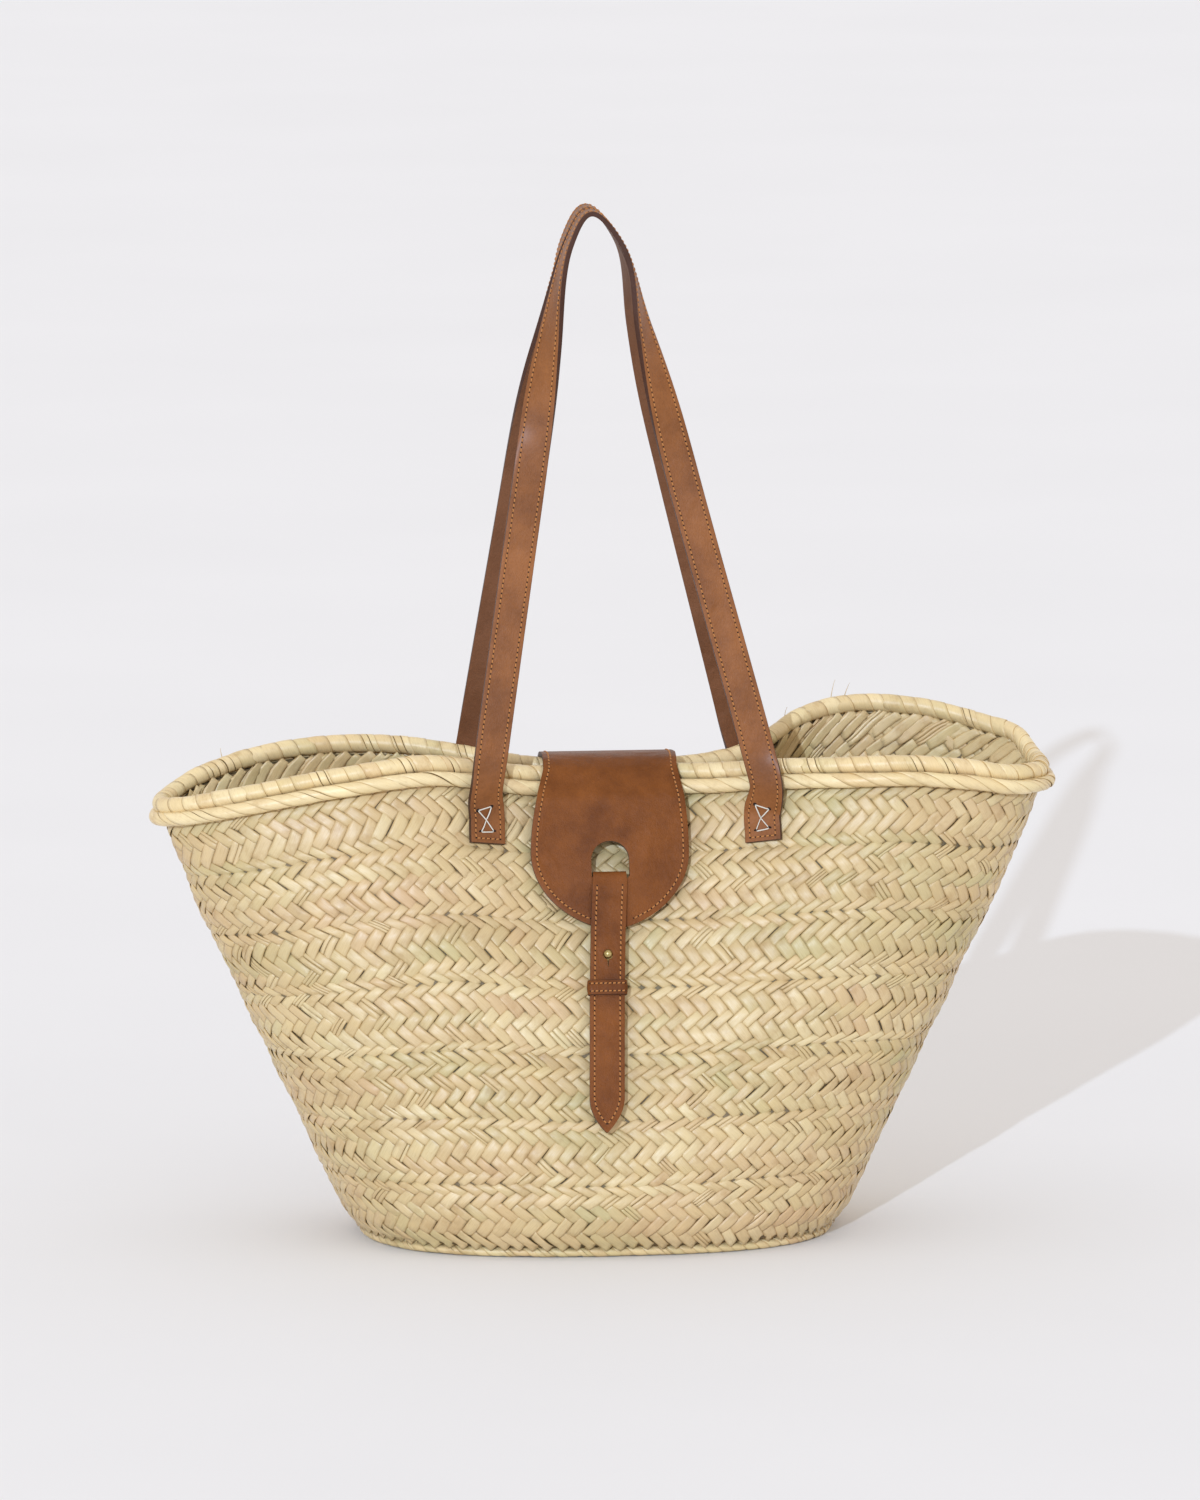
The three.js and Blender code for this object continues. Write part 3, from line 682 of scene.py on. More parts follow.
def weave_wall():
    """The seven turns of braid, outside and inside, and the core between them, dark with painted shade."""
    for course in range(COURSES):
        low = course / COURSES
        high = (course + 1) / COURSES
        node_name = f"wall_course_{course + 1}"
        for face, label in ((1, "outer"), (-1, "inner")):
            shells = Shells()
            surface, length = ring_surface(low, high, face)
            count = round(length / SLAT_PITCH)
            phase = rng.random()
            tones = np.array(COURSE_TONES[course]) + (INSIDE_PAINTED_LIGHT if face < 0 else 0)
            braid_rows(shells, surface, count, ROWS, course * ROWS, tones, phase)
            obj = shells.build(f"braid_{course + 1}_{label}", [PALM if face > 0 else PALM_INSIDE_LIT])
            place(obj, "basket", "palm_leaf", node_name)
    core_shell()


def core_shell():
    """The inside of the plait, seen only in the gaps between slats: a dark shell of painted shade."""
    angles = np.linspace(0, 2 * np.pi, 193)
    levels = np.linspace(0.0, 1.0, 31)
    grid_angle, grid_level = np.meshgrid(angles, levels, indexing="ij")
    point = wall_point(grid_angle, grid_level)
    normal = surface_normal(wall_point, grid_angle, grid_level)
    uv = np.stack([grid_angle * 60, grid_level * 60], -1)
    outer = point - normal * 1.3
    inner = point - normal * (WALL_THICKNESS - 1.4)
    obj = grid_object("plait_core", outer, inner, uv, PALM_CORE_SHADE)
    place(obj, "basket", "palm_leaf")


def level_out(angle, level):
    """The wall's outward direction, kept level."""
    out = surface_normal(wall_point, angle, level)
    out[..., 2] = 0
    return unit(out)


def roll_curve(level, out, up, left_end=0.0, right_end=0.0):
    """The middle line of a roll that follows the wall, evenly paced, with its outward direction.

    left_end and right_end push it out at the two ends of the oval."""

    def reach(angle):
        across = np.cos(angle)
        ends = np.where(across < 0, left_end, right_end) * smoothstep(np.abs(across), 0.86, 1.0)
        return (out + ends)[..., None]

    fine = np.linspace(0, 2 * np.pi, 1441)
    outward = level_out(fine, level)
    middle = wall_point(fine, level) + outward * reach(fine)
    middle[:, 2] += up
    travel = distances(middle)
    length = travel[-1]

    def at(s):
        angle = np.interp(np.mod(s, length), travel, fine)
        outward = level_out(angle, level)
        middle = wall_point(angle, level) + outward * reach(angle)
        middle[..., 2] += up
        return middle, outward

    return at, length


def wrapped_roll(name, curve, length, radius, pitch, slant, tones, nodes, proud=0.42, flat=1.0, seam=-1.5):
    """A roll of leaf wound round a core: each wrap is a band that laps over the one before.

    pitch is the distance from wrap to wrap, slant how many of them one turn gains, and seam the
    angle at which a wrap starts."""
    shells = Shells()
    count = round(length / pitch)
    step = length / count
    share = np.linspace(0, 1, 21)
    q = np.linspace(-0.5, 0.5, 6)
    for j in range(count):
        width = step * np.clip(rng.normal(1.28, 0.07), 1.12, 1.45)
        start = j * step + rng.normal(0, 0.08) * step
        grid_share, grid_q = np.meshgrid(share, q, indexing="ij")
        turn = seam + grid_share * 2 * np.pi
        strips = [(-0.5, 0.5)]
        if rng.random() < 0.2:
            strips = [(-0.5, -0.16), (-0.13, 0.2), (0.23, 0.5)]
        for low, high in strips:
            part_q = low + (grid_q + 0.5) * (high - low)
            s = start + slant * step * (grid_share - 0.5) + part_q * width
            middle, outward = curve(s)
            r = radius - 0.55 + proud * (0.5 - part_q) + 0.22 * np.cos(np.pi * part_q) ** 2
            r = r + rng.normal(0, 0.07) + rng.normal(0, 0.12) * np.sin(turn * 2 + j)
            direction = outward * np.cos(turn)[..., None] + np.array([0, 0, flat]) * np.sin(turn)[..., None]
            top = middle + direction * r[..., None]
            bottom = middle + direction * (r - 0.4)[..., None]
            uv = np.stack([part_q * 1.4 + rng.random() * 40, grid_share * 7 + rng.random() * 40], -1)
            shells.add(top, bottom, uv, leaf_tone(tones))
    obj = shells.build(name, [PALM_ROLL_LIT])
    return place(obj, "basket", "palm_braid", *nodes)


def tube(name, curve, length, radius, material, sides=12, steps=260):
    """A plain closed tube round the basket, as the core under a roll's wraps."""
    s = np.linspace(0, length, steps, endpoint=False)
    turn = np.linspace(0, 2 * np.pi, sides, endpoint=False)
    middle, outward = curve(s)
    points = (
        middle[:, None] + outward[:, None] * np.cos(turn)[None, :, None] * radius
        + np.array([0, 0, 1.0]) * np.sin(turn)[None, :, None] * radius
    )
    faces = [(a, d, c, b) for a, b, c, d in ring_faces(steps, sides, True)]
    mesh = bpy.data.meshes.new(name)
    mesh.from_pydata((points.reshape(-1, 3) * MM).tolist(), [], faces)
    mesh.materials.append(material)
    mesh.polygons.foreach_set("use_smooth", np.full(len(faces), True))
    return place(linked(name, mesh), "basket", "palm_braid")


def rim_and_foot():
    """The two rolls round the mouth and the braid under the foot, each with its core, dark with painted
    shade.
    """
    curve, length = roll_curve(1.0, -WALL_THICKNESS / 2, UPPER_LIFT, 3.5, 1.0)
    wrapped_roll("upper_roll", curve, length, UPPER_ROLL, pitch=9.6, slant=-1.4,
                 tones=(0.82, 0.10, 0.04), nodes=["upper_rim_roll"])
    tube("upper_roll_core", curve, length, UPPER_ROLL - CORE_INSET, PALM_CORE_SHADE)
    curve, length = roll_curve(1.0, LOWER_OUT, -LOWER_DROP, -1.8, -2.6)
    wrapped_roll("lower_roll", curve, length, LOWER_ROLL, pitch=13.5, slant=-3.2,
                 tones=(0.86, 0.08, 0.04), nodes=["lower_rim_roll"], seam=2.6)
    tube("lower_roll_core", curve, length, LOWER_ROLL - CORE_INSET, PALM_CORE_SHADE)
    curve, length = roll_curve(0.0, -5.4, FOOT_RING - WALL_FOOT)
    wrapped_roll("foot_braid", curve, length, FOOT_RING, pitch=7.4, slant=-2.2,
                 tones=(0.60, 0.20, 0.12), nodes=["foot_ring"], proud=0.6, flat=0.9, seam=1.9)
    tube("foot_braid_core", curve, length, FOOT_RING - 1.0, PALM_CORE_SHADE)


def tucked_ends():
    """Inside the mouth the wraps of the upper roll end as slanting tails, laid over the top row."""
    shells = Shells()
    surface, length = ring_surface(1 - TUCK_DEPTH, 1.0, -1)
    count = round(length / TUCK_PITCH)
    for i in range(count):
        u = (i + rng.normal(0, 0.12)) / count
        reach = np.clip(rng.normal(1.0, 0.16), 0.6, 1.25)
        along = (-1.5 * reach / count, 0.95 * reach)
        across = (0.42 / count, 0.34)
        tone = leaf_tone((0.76, 0.14, 0.12))
        lay_slat(shells, surface, (u, 0.94 - reach * 0.36), along, across, tone, lift=0.8, steps=(9, 5))
    place(shells.build("tucked_ends", [PALM_INSIDE_LIT]), "basket", "palm_braid")


def base_surface(z, facing):
    """The oval base as turns of braid from its edge (v = 0) to the middle (v = 1)."""

    def surface(u, v):
        angle = np.mod(u, 1.0) * 2 * np.pi
        edge = wall_point(angle, 0.0) - level_out(angle, 0.0) * 7.6
        middle = np.array([-3.5, 0.0, 0.0])
        share = (1 - v)[..., None]
        point = middle + (edge - middle) * share
        point[..., 2] = z
        return point, np.broadcast_to(np.array([0, 0, float(facing)]), point.shape)

    return surface


def weave_base():
    """The oval base: turns of braid seen from below and from inside, and the core between them, dark with
    painted shade.
    """
    rings = 12
    for z, facing, label in ((1.75, -1, "under"), (4.4, 1, "inside")):
        shells = Shells()
        whole = base_surface(z, facing)
        for ring in range(rings):
            low = ring / rings
            high = (ring + 1) / rings

            def turn(u, v, low=low, high=high):
                return whole(u, low + (high - low) * v)

            count = max(round(720 * (1 - (low + high) / 2) / SLAT_PITCH), 8)
            tones = COURSE_TONES[ring % COURSES]
            braid_rows(shells, turn, count, 1, ring, tones, rng.random())
        obj = shells.build(f"base_braid_{label}", [PALM])
        place(obj, "basket", "palm_leaf", "base_mat")
    angle = np.linspace(0, 2 * np.pi, 97)
    share = np.linspace(0, 0.98, 9)
    grid_angle, grid_share = np.meshgrid(angle, share, indexing="ij")
    point, _ = base_surface(3.6, 1)(grid_angle / (2 * np.pi), grid_share)
    below = point.copy()
    below[..., 2] = 2.2
    uv = np.stack([grid_angle * 40, grid_share * 40], -1)
    obj = grid_object("base_core", point, below, uv, PALM_CORE_SHADE)
    place(obj, "basket", "palm_leaf")


def loose_fibres():
    """A few split ends of leaf that stand off the rim and the seams."""
    shells = Shells()
    pale = (0.75, 0.1, 0.05)
    spots = [(0.95, 1.0, 9.0), (0.99, 1.0, 12.0), (1.12, 1.0, 7.0), (2.6, 1.0, 6.0), (5.55, 0.99, 5.0),
             (4.2, 0.43, 5.0), (5.3, 0.71, 6.0), (3.9, 0.86, 4.0), (5.9, 0.57, 4.0), (4.45, 0.14, 5.0)]
    for angle, level, length in spots:
        t = np.linspace(0, 1, 8)
        start = wall_point(angle, level)
        normal = surface_normal(wall_point, np.array(angle), np.array(level))
        rise = UPPER_LIFT + UPPER_ROLL - 1 if level > 0.995 else 0.4
        direction = unit(normal * 0.35 + np.array([rng.normal(0, 0.9), 0, 0.8]))
        path = start + np.array([0, 0, rise * (level > 0.995)]) + normal * (0.3 if level < 0.995 else -2)
        line = path + direction * (t * length)[:, None] + normal * (np.sin(t * 2.2) * 1.2)[:, None]
        side = unit(np.cross(direction, normal)) * 0.28
        width = (1 - 0.8 * t)[:, None]
        top = np.stack([line - side * width, line + side * width], 1)
        bottom = top - normal * 0.12
        uv = np.stack([np.tile([0.0, 0.2], (8, 1)), np.tile(t[:, None], (1, 2))], -1)
        shells.add(top, bottom, uv, pale)
    place(shells.build("loose_fibres", [PALM]), "basket", "palm_leaf")


# ---- Leather ----


def round_edges(obj, width, segments, angle):
    """Rounds the edges sharper than an angle in degrees and gives them the second material."""
    bevel = obj.modifiers.new("worn_edge", "BEVEL")
    bevel.width = width * MM
    bevel.segments = segments
    bevel.limit_method = "ANGLE"
    bevel.angle_limit = math.radians(angle)
    bevel.material = 1


def leather_sheet(name, surface, across, along, thickness=LEATHER, edge=0.45, face=TAN):
    """A sheet of two sewn layers on a middle surface, with rounded and burnished edges."""
    u = np.linspace(0, 1, across + 1)
    v = np.linspace(0, 1, along + 1)
    grid_u, grid_v = np.meshgrid(u, v, indexing="ij")
    point = surface(grid_u, grid_v)
    normal = surface_normal(surface, grid_u, grid_v)
    shells = Shells()
    uv = np.stack([grid_u, grid_v], -1)
    shells.add(point + normal * thickness / 2, point - normal * thickness / 2, uv, PLAIN)
    obj = shells.build(name, [face, EDGE, LINING])
    quads = across * along
    index = np.zeros(len(obj.data.polygons), int)
    index[quads:2 * quads] = 2
    index[2 * quads:] = 1
    obj.data.polygons.foreach_set("material_index", index)
    round_edges(obj, edge, 3, 50)
    return obj


def apply_modifiers(obj):
    """Keeps the shape its modifiers give an object and drops them."""
    graph = bpy.context.evaluated_depsgraph_get()
    shaped = obj.evaluated_get(graph)
    mesh = bpy.data.meshes.new_from_object(shaped, preserve_all_data_layers=True, depsgraph=graph)
    obj.modifiers.clear()
    obj.data = mesh


def cut_with(obj, outline, origin, across, up, out):
    """Cuts a hole with a straight-sided tool drawn in the plane of across and up."""
    reach = 15
    front = [origin + across * x + up * y + out * reach for x, y in outline]
    back = [origin + across * x + up * y - out * reach for x, y in outline]
    count = len(outline)
    faces = [tuple(range(count)), tuple(range(2 * count - 1, count - 1, -1))]
    faces += [(i, count + i, count + (i + 1) % count, (i + 1) % count) for i in range(count)]
    mesh = bpy.data.meshes.new("tool")
    mesh.from_pydata((np.array(front + back) * MM).tolist(), [], faces)
    mesh.materials.append(EDGE)
    tool = linked("tool", mesh)
    face_outward(mesh)
    cutter = obj.modifiers.new("hole", "BOOLEAN")
    cutter.object = tool
    cutter.operation = "DIFFERENCE"
    cutter.solver = "EXACT"
    obj.modifiers.move(len(obj.modifiers) - 1, 0)
    apply_modifiers(obj)
    bpy.data.objects.remove(tool)


def needle_hole(shells, spot, up, inner, outer, depth, points):
    """A dimple on a leather face where thread goes in, near black with painted shade in the hole."""
    a = unit(np.cross(up, np.array([0.3, 0.5, 0.8])))
    b = np.cross(up, a)
    turn = np.linspace(0, 2 * np.pi, points)
    ring = a * np.cos(turn)[:, None] + b * np.sin(turn)[:, None]
    top = spot + np.stack([ring * inner, ring * outer], 1) + up * depth
    shells.add(top, top - up * 0.3, np.zeros((points, 2, 2)), PLAIN, 1)


def stitch_line(shells, path, normal, pitch=2.9, radius=0.46, length=0.74):
    """Stitches and needle holes along a path that lies on a leather face."""
    travel = distances(path)
    count = int(travel[-1] / pitch)
    spots = (np.arange(count) + 0.5) * travel[-1] / count
    for s in spots:
        half = pitch * length / 2
        ends = along_path(s + np.linspace(-half, half, 6), travel, path)
        up = unit(along_path(s, travel, normal))
        direction = unit(ends[-1] - ends[0])
        side = unit(np.cross(up, direction))
        slew = rng.normal(0.12, 0.03)
        t = np.linspace(-1, 1, 6)
        turn = np.linspace(0, 2 * np.pi, 7)
        lift = 0.22 * (1 - t**4) - 0.16
        thick = radius * np.clip(1 - np.abs(t) ** 5 * 0.6, 0.2, 1)
        ring = side * np.cos(turn)[:, None] + up * np.sin(turn)[:, None]
        middle = ends + up * lift[:, None] + side * (slew * t * pitch * 0.35)[:, None]
        top = middle[:, None] + ring[None] * thick[:, None, None]
        bottom = middle[:, None] + ring[None] * thick[:, None, None] * 0.3
        uv = np.stack(np.meshgrid(t * 1.2 + s, turn * 0.2, indexing="ij"), -1)
        shells.add(top, bottom, uv, PLAIN, 0)
    for s in np.append(spots - travel[-1] / count / 2, travel[-1]):
        spot = along_path(s, travel, path)
        needle_hole(shells, spot, unit(along_path(s, travel, normal)), 0.04, 0.46, 0.05, 9)


def stitches_on(shells, surface, u, v, thickness=LEATHER, step=1e-3, facing=1):
    """Stitches on one face of a sheet, over the points u, v of its middle surface."""
    up = facing * surface_normal(surface, u, v, step)
    stitch_line(shells, surface(u, v) + up * (thickness / 2 + 0.02), up)


# ---- Flap ----


def panel_basis():
    """The directions down the flap's hanging panel and out of it."""
    drop = math.sqrt(FLAP_LENGTH**2 - (TIP_DEPTH - FOLD_DEPTH) ** 2)
    down = unit(np.array([0, FOLD_DEPTH - TIP_DEPTH, -drop]))
    return down, np.array([0, down[2], -down[1]])


PANEL_DOWN, PANEL_OUT = panel_basis()


def flap_half_width(distance):
    """Half the flap's width at a distance below its fold: it widens, then rounds to its tip."""
    distance = np.asarray(distance, float)
    widening = np.sin(np.clip(distance / FLAP_ROUND, 0, 1) * np.pi / 2)
    upper = FLAP_TOP + (FLAP_WIDE - FLAP_TOP) * widening
    t = np.clip((distance - FLAP_ROUND) / (FLAP_LENGTH - FLAP_ROUND), 0, 1)
    return np.where(distance < FLAP_ROUND, upper, FLAP_WIDE * (1 - t * t) ** 0.6)


def flap_profile():
    """The flap's middle line from its sewn end on the back wall to its tip, with rounded bends."""
    lower_out = LOWER_OUT + LOWER_ROLL
    back = [(float(wall_at(1, FLAP_CENTRE, z)[1]) + lift, z) for z, lift in
            ((224, 3.0), (230, 3.0), (236, 3.2), (243, 4.6), (250, 7.5))]
    back.append((float(wall_at(1, 30.0, 262.0)[1]) + lower_out + 2.2, 262.0))
    points = back + [(FOLD_DEPTH - 5.5, FOLD_HEIGHT - 8.0), (FOLD_DEPTH - 14, FOLD_HEIGHT - 2.6)]
    points += [(9.0, FOLD_HEIGHT - 1.2), (-9.0, FOLD_HEIGHT + 0.6), (-19.0, FOLD_HEIGHT - 0.2)]
    points += [(-27.0, FOLD_HEIGHT - 4.6), (-33.0, FOLD_HEIGHT - 12.0)]
    for distance in (20.0, 40.0, 60.0, 80.0, FLAP_LENGTH):
        bow = 1.4 * math.sin(math.pi * distance / FLAP_LENGTH)
        p = np.array([0, -FOLD_DEPTH, FOLD_HEIGHT]) + PANEL_DOWN * distance + PANEL_OUT * bow
        points.append((p[1], p[2]))
    points = np.array(points)
    travel = distances(points)
    fine = np.linspace(0, travel[-1], 900)
    bend_reach = 5.0
    line = smoothed(along_path(fine, travel, points), int(bend_reach / (fine[1] - fine[0])))
    return line, distances(line)


FLAP_LINE, FLAP_TRAVEL = flap_profile()
FLAP_TOTAL = FLAP_TRAVEL[-1]
FLAP_FOLD_S = FLAP_TOTAL - FLAP_LENGTH
OVER_MOUTH = FLAP_LINE[:, 1] > 270
FLAP_HALF_S = float(np.interp(0.0, -FLAP_LINE[:, 0][OVER_MOUTH], FLAP_TRAVEL[OVER_MOUTH]))


def flap_point(x, s):
    """A point of the flap's middle surface, x from its middle line and s along it."""
    y = np.interp(s, FLAP_TRAVEL, FLAP_LINE[:, 0])
    z = np.interp(s, FLAP_TRAVEL, FLAP_LINE[:, 1])
    hang = smoothstep(s, FLAP_FOLD_S, FLAP_FOLD_S + 25)
    curl = -0.9 * (x / FLAP_WIDE) ** 2 * hang
    wave = 0.5 * np.sin(x * 0.09 + s * 0.045) * hang
    sway = 4.4 * smoothstep(s, FLAP_HALF_S - 20, FLAP_FOLD_S + 60)
    point = np.stack([FLAP_CENTRE + 2.3 - sway + x, y, z], -1)
    return point + PANEL_OUT * (curl + wave)[..., None]


def flap_width_at(s):
    """Half the flap's width at a distance s along it."""
    return flap_half_width(np.maximum(s - FLAP_FOLD_S, 0))


def flap_surface(low, high, power=1.0):
    """The piece of the flap from low to high, with points closer together near high for a
    power over 1."""

    def surface(u, v):
        s = high - (high - low) * np.sign(v) * np.abs(v) ** power
        return flap_point((u - 0.5) * 2 * flap_width_at(s), s)

    return surface


def flap_edge(inset, low, high, steps=500):
    """The line of stitches at one side of the flap, from low to the tip or to high."""
    s = np.linspace(low, high, steps)
    half = flap_width_at(s)
    dx = np.gradient(half, s)
    size = np.sqrt(1 + dx**2)
    return s + inset * dx / size, half - inset / size


def build_flap():
    """The flap in two pieces that meet over the middle of the mouth, and its stitches."""
    back_piece = leather_sheet("flap_back", flap_surface(0.0, FLAP_HALF_S), 20, 60)
    place(back_piece, None, "flap_leather", "flap_anchor", "flap_bridge_outer", "flap_bridge_lining")
    front = leather_sheet("flap_front", flap_surface(FLAP_HALF_S, FLAP_TOTAL - 0.3, 1.5), 24, 90)
    r = HOLE_RADIUS
    outline = [(-r + 1.5, -r), (r - 1.5, -r), (r, -r + 1.5)]
    outline += [(r * math.cos(a), r * math.sin(a)) for a in np.linspace(0, math.pi, 25)]
    outline += [(-r, -r + 1.5)]
    across = np.array([1.0, 0, 0])
    origin = np.array([CLOSURE_X, -FOLD_DEPTH, FOLD_HEIGHT]) + PANEL_DOWN * HOLE_DISTANCE
    cut_with(front, outline, origin, across, -PANEL_DOWN, PANEL_OUT)
    place(front, None, "flap_leather", "flap_panel_outer", "flap_panel_lining")
    hinge_back = dict(start=(0, 38 * MM, 262 * MM), end=(0, 27 * MM, 277.5 * MM))
    hinge_front = dict(start=(0, -29 * MM, 278 * MM), end=(0, -38.5 * MM, 266 * MM))
    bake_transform(back_piece)
    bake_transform(front)
    for label, low, high, hinge, bodies in (
        ("back", 3.0, FLAP_HALF_S, hinge_back, ("basket", "flap_bridge")),
        ("front", FLAP_HALF_S, FLAP_TOTAL - 3.1, hinge_front, ("flap_bridge", "flap_panel")),
    ):
        shells = Shells()
        for side in (-1, 1):
            s, half = flap_edge(3.3, low, high)
            keep = half > 0.4
            stitches_on(shells, flap_point, side * half[keep], s[keep], step=0.05, facing=-1)
        if label == "back":
            x = np.linspace(-FLAP_TOP + 3.3, FLAP_TOP - 3.3, 60)
            stitches_on(shells, flap_point, x, np.full_like(x, 3.3), step=0.05, facing=-1)
        obj = shells.build(f"flap_stitches_{label}", [STITCH, HOLE_SHADE])
        place(obj, None, "waxed_thread")
        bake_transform(obj)


# ---- Handles ----


def catmull(points, steps=1200):
    """A centripetal Catmull-Rom curve through the points, evenly paced."""
    points = np.array(points, float)
    first = 2 * points[0] - points[1]
    last = 2 * points[-1] - points[-2]
    chain = np.vstack([first, points, last])
    out = []
    for i in range(len(points) - 1):
        p0, p1, p2, p3 = chain[i:i + 4]
        t0 = 0.0
        t1 = t0 + np.linalg.norm(p1 - p0) ** 0.5
        t2 = t1 + np.linalg.norm(p2 - p1) ** 0.5
        t3 = t2 + np.linalg.norm(p3 - p2) ** 0.5
        t = np.linspace(t1, t2, 80, endpoint=i == len(points) - 2)[:, None]
        a1 = (t1 - t) / (t1 - t0) * p0 + (t - t0) / (t1 - t0) * p1
        a2 = (t2 - t) / (t2 - t1) * p1 + (t - t1) / (t2 - t1) * p2
        a3 = (t3 - t) / (t3 - t2) * p2 + (t - t2) / (t3 - t2) * p3
        b1 = (t2 - t) / (t2 - t0) * a1 + (t - t0) / (t2 - t0) * a2
        b2 = (t3 - t) / (t3 - t1) * a2 + (t - t1) / (t3 - t1) * a3
        out.append((t2 - t) / (t2 - t1) * b1 + (t - t1) / (t2 - t1) * b2)
    line = np.vstack(out)
    travel = distances(line)
    even = np.linspace(0, travel[-1], steps)
    return along_path(even, travel, line), even


def handle_line(side):
    """The strap's middle line from one sewn end to the other, its width direction and length."""
    legs = []
    for hand in ("left", "right"):
        x = FOOT_X[hand]
        mirror = np.array([1.0, -side, 1.0])
        heights = ((TAB_BOTTOM, 2.9), (241.0, 2.9), (249.0, 3.4))
        sewn = [wall_at(side, x, z, lift) for z, lift in heights]
        rise = [np.array([x, side * FOOT_DEPTH[hand] * 0.985, HINGE_HEIGHT + 1.0])]
        free = [np.array(p, float) * mirror for p in LEGS[hand]]
        legs.append(sewn + rise + free)
    apex = np.array(APEX) * np.array([1.0, -side, 1.0])
    line, travel = catmull(legs[0] + [apex] + legs[1][::-1])
    line = smoothed(line, 9)
    tangent = unit(np.gradient(line, axis=0))
    z = line[:, 2]
    quarter = np.pi / 2 * smoothstep(z, *TWIST)
    middle = np.argmax(z)
    before = np.arange(len(z)) < middle
    turn = np.where(before, quarter, np.pi - quarter)
    width = np.stack([np.cos(turn), side * np.sin(turn), 0 * turn], 1)
    for hand, mask in (("left", before), ("right", ~before)):
        x = FOOT_X[hand]
        a = wall_at(side, x - 8, 250.0)
        b = wall_at(side, x + 8, 250.0)
        on_wall = unit(b - a) * (1 if hand == "left" else -1)
        on_wall[2] = 0
        share = (1 - smoothstep(z, 256.0, 300.0))[:, None]
        width = np.where(mask[:, None], width * (1 - share) + on_wall * share, width)
    width = unit(width - tangent * np.sum(width * tangent, 1, keepdims=True))
    return line, width, travel


def build_handle(label, side):
    """A shoulder strap of two sewn layers, soft from the wall upward, with its stitches."""
    line, width, travel = handle_line(side)
    total = travel[-1]
    half = STRAP_WIDTH / 2

    def surface(u, v):
        s = v * total
        middle = along_path(s, travel, line)
        across = along_path(s, travel, width)
        flare = half + 1.25 * (1 - smoothstep(np.minimum(s, total - s), 18.0, 40.0))
        return middle + across * ((u - 0.5) * 2 * flare * -side)[..., None]

    strap = leather_sheet(f"{label}_handle", surface, 8, 420, edge=0.5, face=HANDLE_TAN_SHEEN)
    nodes = [f"{label}_handle_{layer}" for layer in ("outer", "lining")]
    nodes += [f"{label}_handle_end_{hand}" for hand in ("left", "right")]
    place(strap, None, "handle_leather", *nodes)
    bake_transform(strap)
    shells = Shells()
    v = np.linspace(2.6 / total, 1 - 2.6 / total, 1400)
    for u in (2.7 / STRAP_WIDTH, 1 - 2.7 / STRAP_WIDTH):
        stitches_on(shells, surface, np.full_like(v, u), v)
    for end in (2.6, total - 2.6):
        u = np.linspace(0.16, 0.84, 20)
        stitches_on(shells, surface, u, np.full_like(u, end / total))
    obj = shells.build(f"{label}_handle_stitches", [STITCH, HOLE_SHADE])
    place(obj, None, "waxed_thread")
    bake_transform(obj)
    for hand, at_start in (("left", True), ("right", False)):
        hourglass(label, hand, surface, total, at_start)


def strand(shells, a, b, up, radius=0.38, sag=0.0, start_dip=0.5, end_dip=0.5):
    """A tight strand of thread from one hole to another."""
    t = np.linspace(0, 1, 15)
    turn = np.linspace(0, 2 * np.pi, 11)
    middle = a + (b - a) * t[:, None]
    lift = radius * 0.8 + sag * np.sin(np.pi * t)
    lift = lift - start_dip * np.exp(-((t / 0.07) ** 2)) * 1.6
    lift = lift - end_dip * np.exp(-(((1 - t) / 0.07) ** 2)) * 1.6
    middle = middle + up * lift[:, None]
    direction = unit(b - a)
    side = np.cross(up, direction)
    ring = side * np.cos(turn)[:, None] + up * np.sin(turn)[:, None]
    thick = radius * (1 - 0.45 * np.exp(-((t / 0.06) ** 2)) - 0.45 * np.exp(-(((1 - t) / 0.06) ** 2)))
    top = middle[:, None] + ring[None] * thick[:, None, None]
    bottom = middle[:, None] + ring[None] * thick[:, None, None] * 0.3
    uv = np.stack(np.meshgrid(t * np.linalg.norm(b - a) * 0.5, turn * 0.2, indexing="ij"), -1)
    shells.add(top, bottom, uv, PLAIN, 0)


def hourglass(label, hand, surface, total, at_start):
    """White waxed thread that fastens a strap end: two bars with a cross between them."""
    shells = Shells()

    def on_strap(x, height):
        """A point on the strap's face, and its normal, from x and the height above its end."""
        s = height if at_start else total - height
        u = 0.5 + x / STRAP_WIDTH * (1 if at_start else -1) * (1 if label == "front" else -1)
        v = s / total
        point = surface(np.array(u), np.array(v))
        up = surface_normal(surface, np.array(u), np.array(v))
        return point + up * (LEATHER / 2), up

    lean_x = -1.2 if hand == "left" else -0.4
    top_left, up = on_strap(-3.9 + lean_x, 21.6)
    top_right, _ = on_strap(3.7 + lean_x, 21.9)
    low_left, _ = on_strap(-3.2 + lean_x * 0.6, 6.2)
    low_right, _ = on_strap(4.1 + lean_x * 0.6, 6.9)
    crossing, _ = on_strap(0.1 + lean_x, 13.8)
    strand(shells, top_left, top_right, up)
    strand(shells, low_left, low_right, up)
    strand(shells, top_left, crossing, up, end_dip=0.0)
    strand(shells, crossing, low_right, up, start_dip=0.0)
    strand(shells, top_right, crossing, up, sag=0.5, end_dip=0.0)
    strand(shells, crossing, low_left, up, sag=0.5, start_dip=0.0)
    for spot in (top_left, top_right, low_left, low_right):
        needle_hole(shells, spot, up, 0.05, 1.25, 0.06, 13)
    obj = shells.build(f"{label}_handle_lacing_{hand}", [WAXED, HOLE_SHADE])
    place(obj, "basket", "waxed_thread", f"{label}_handle_thread_{hand}")


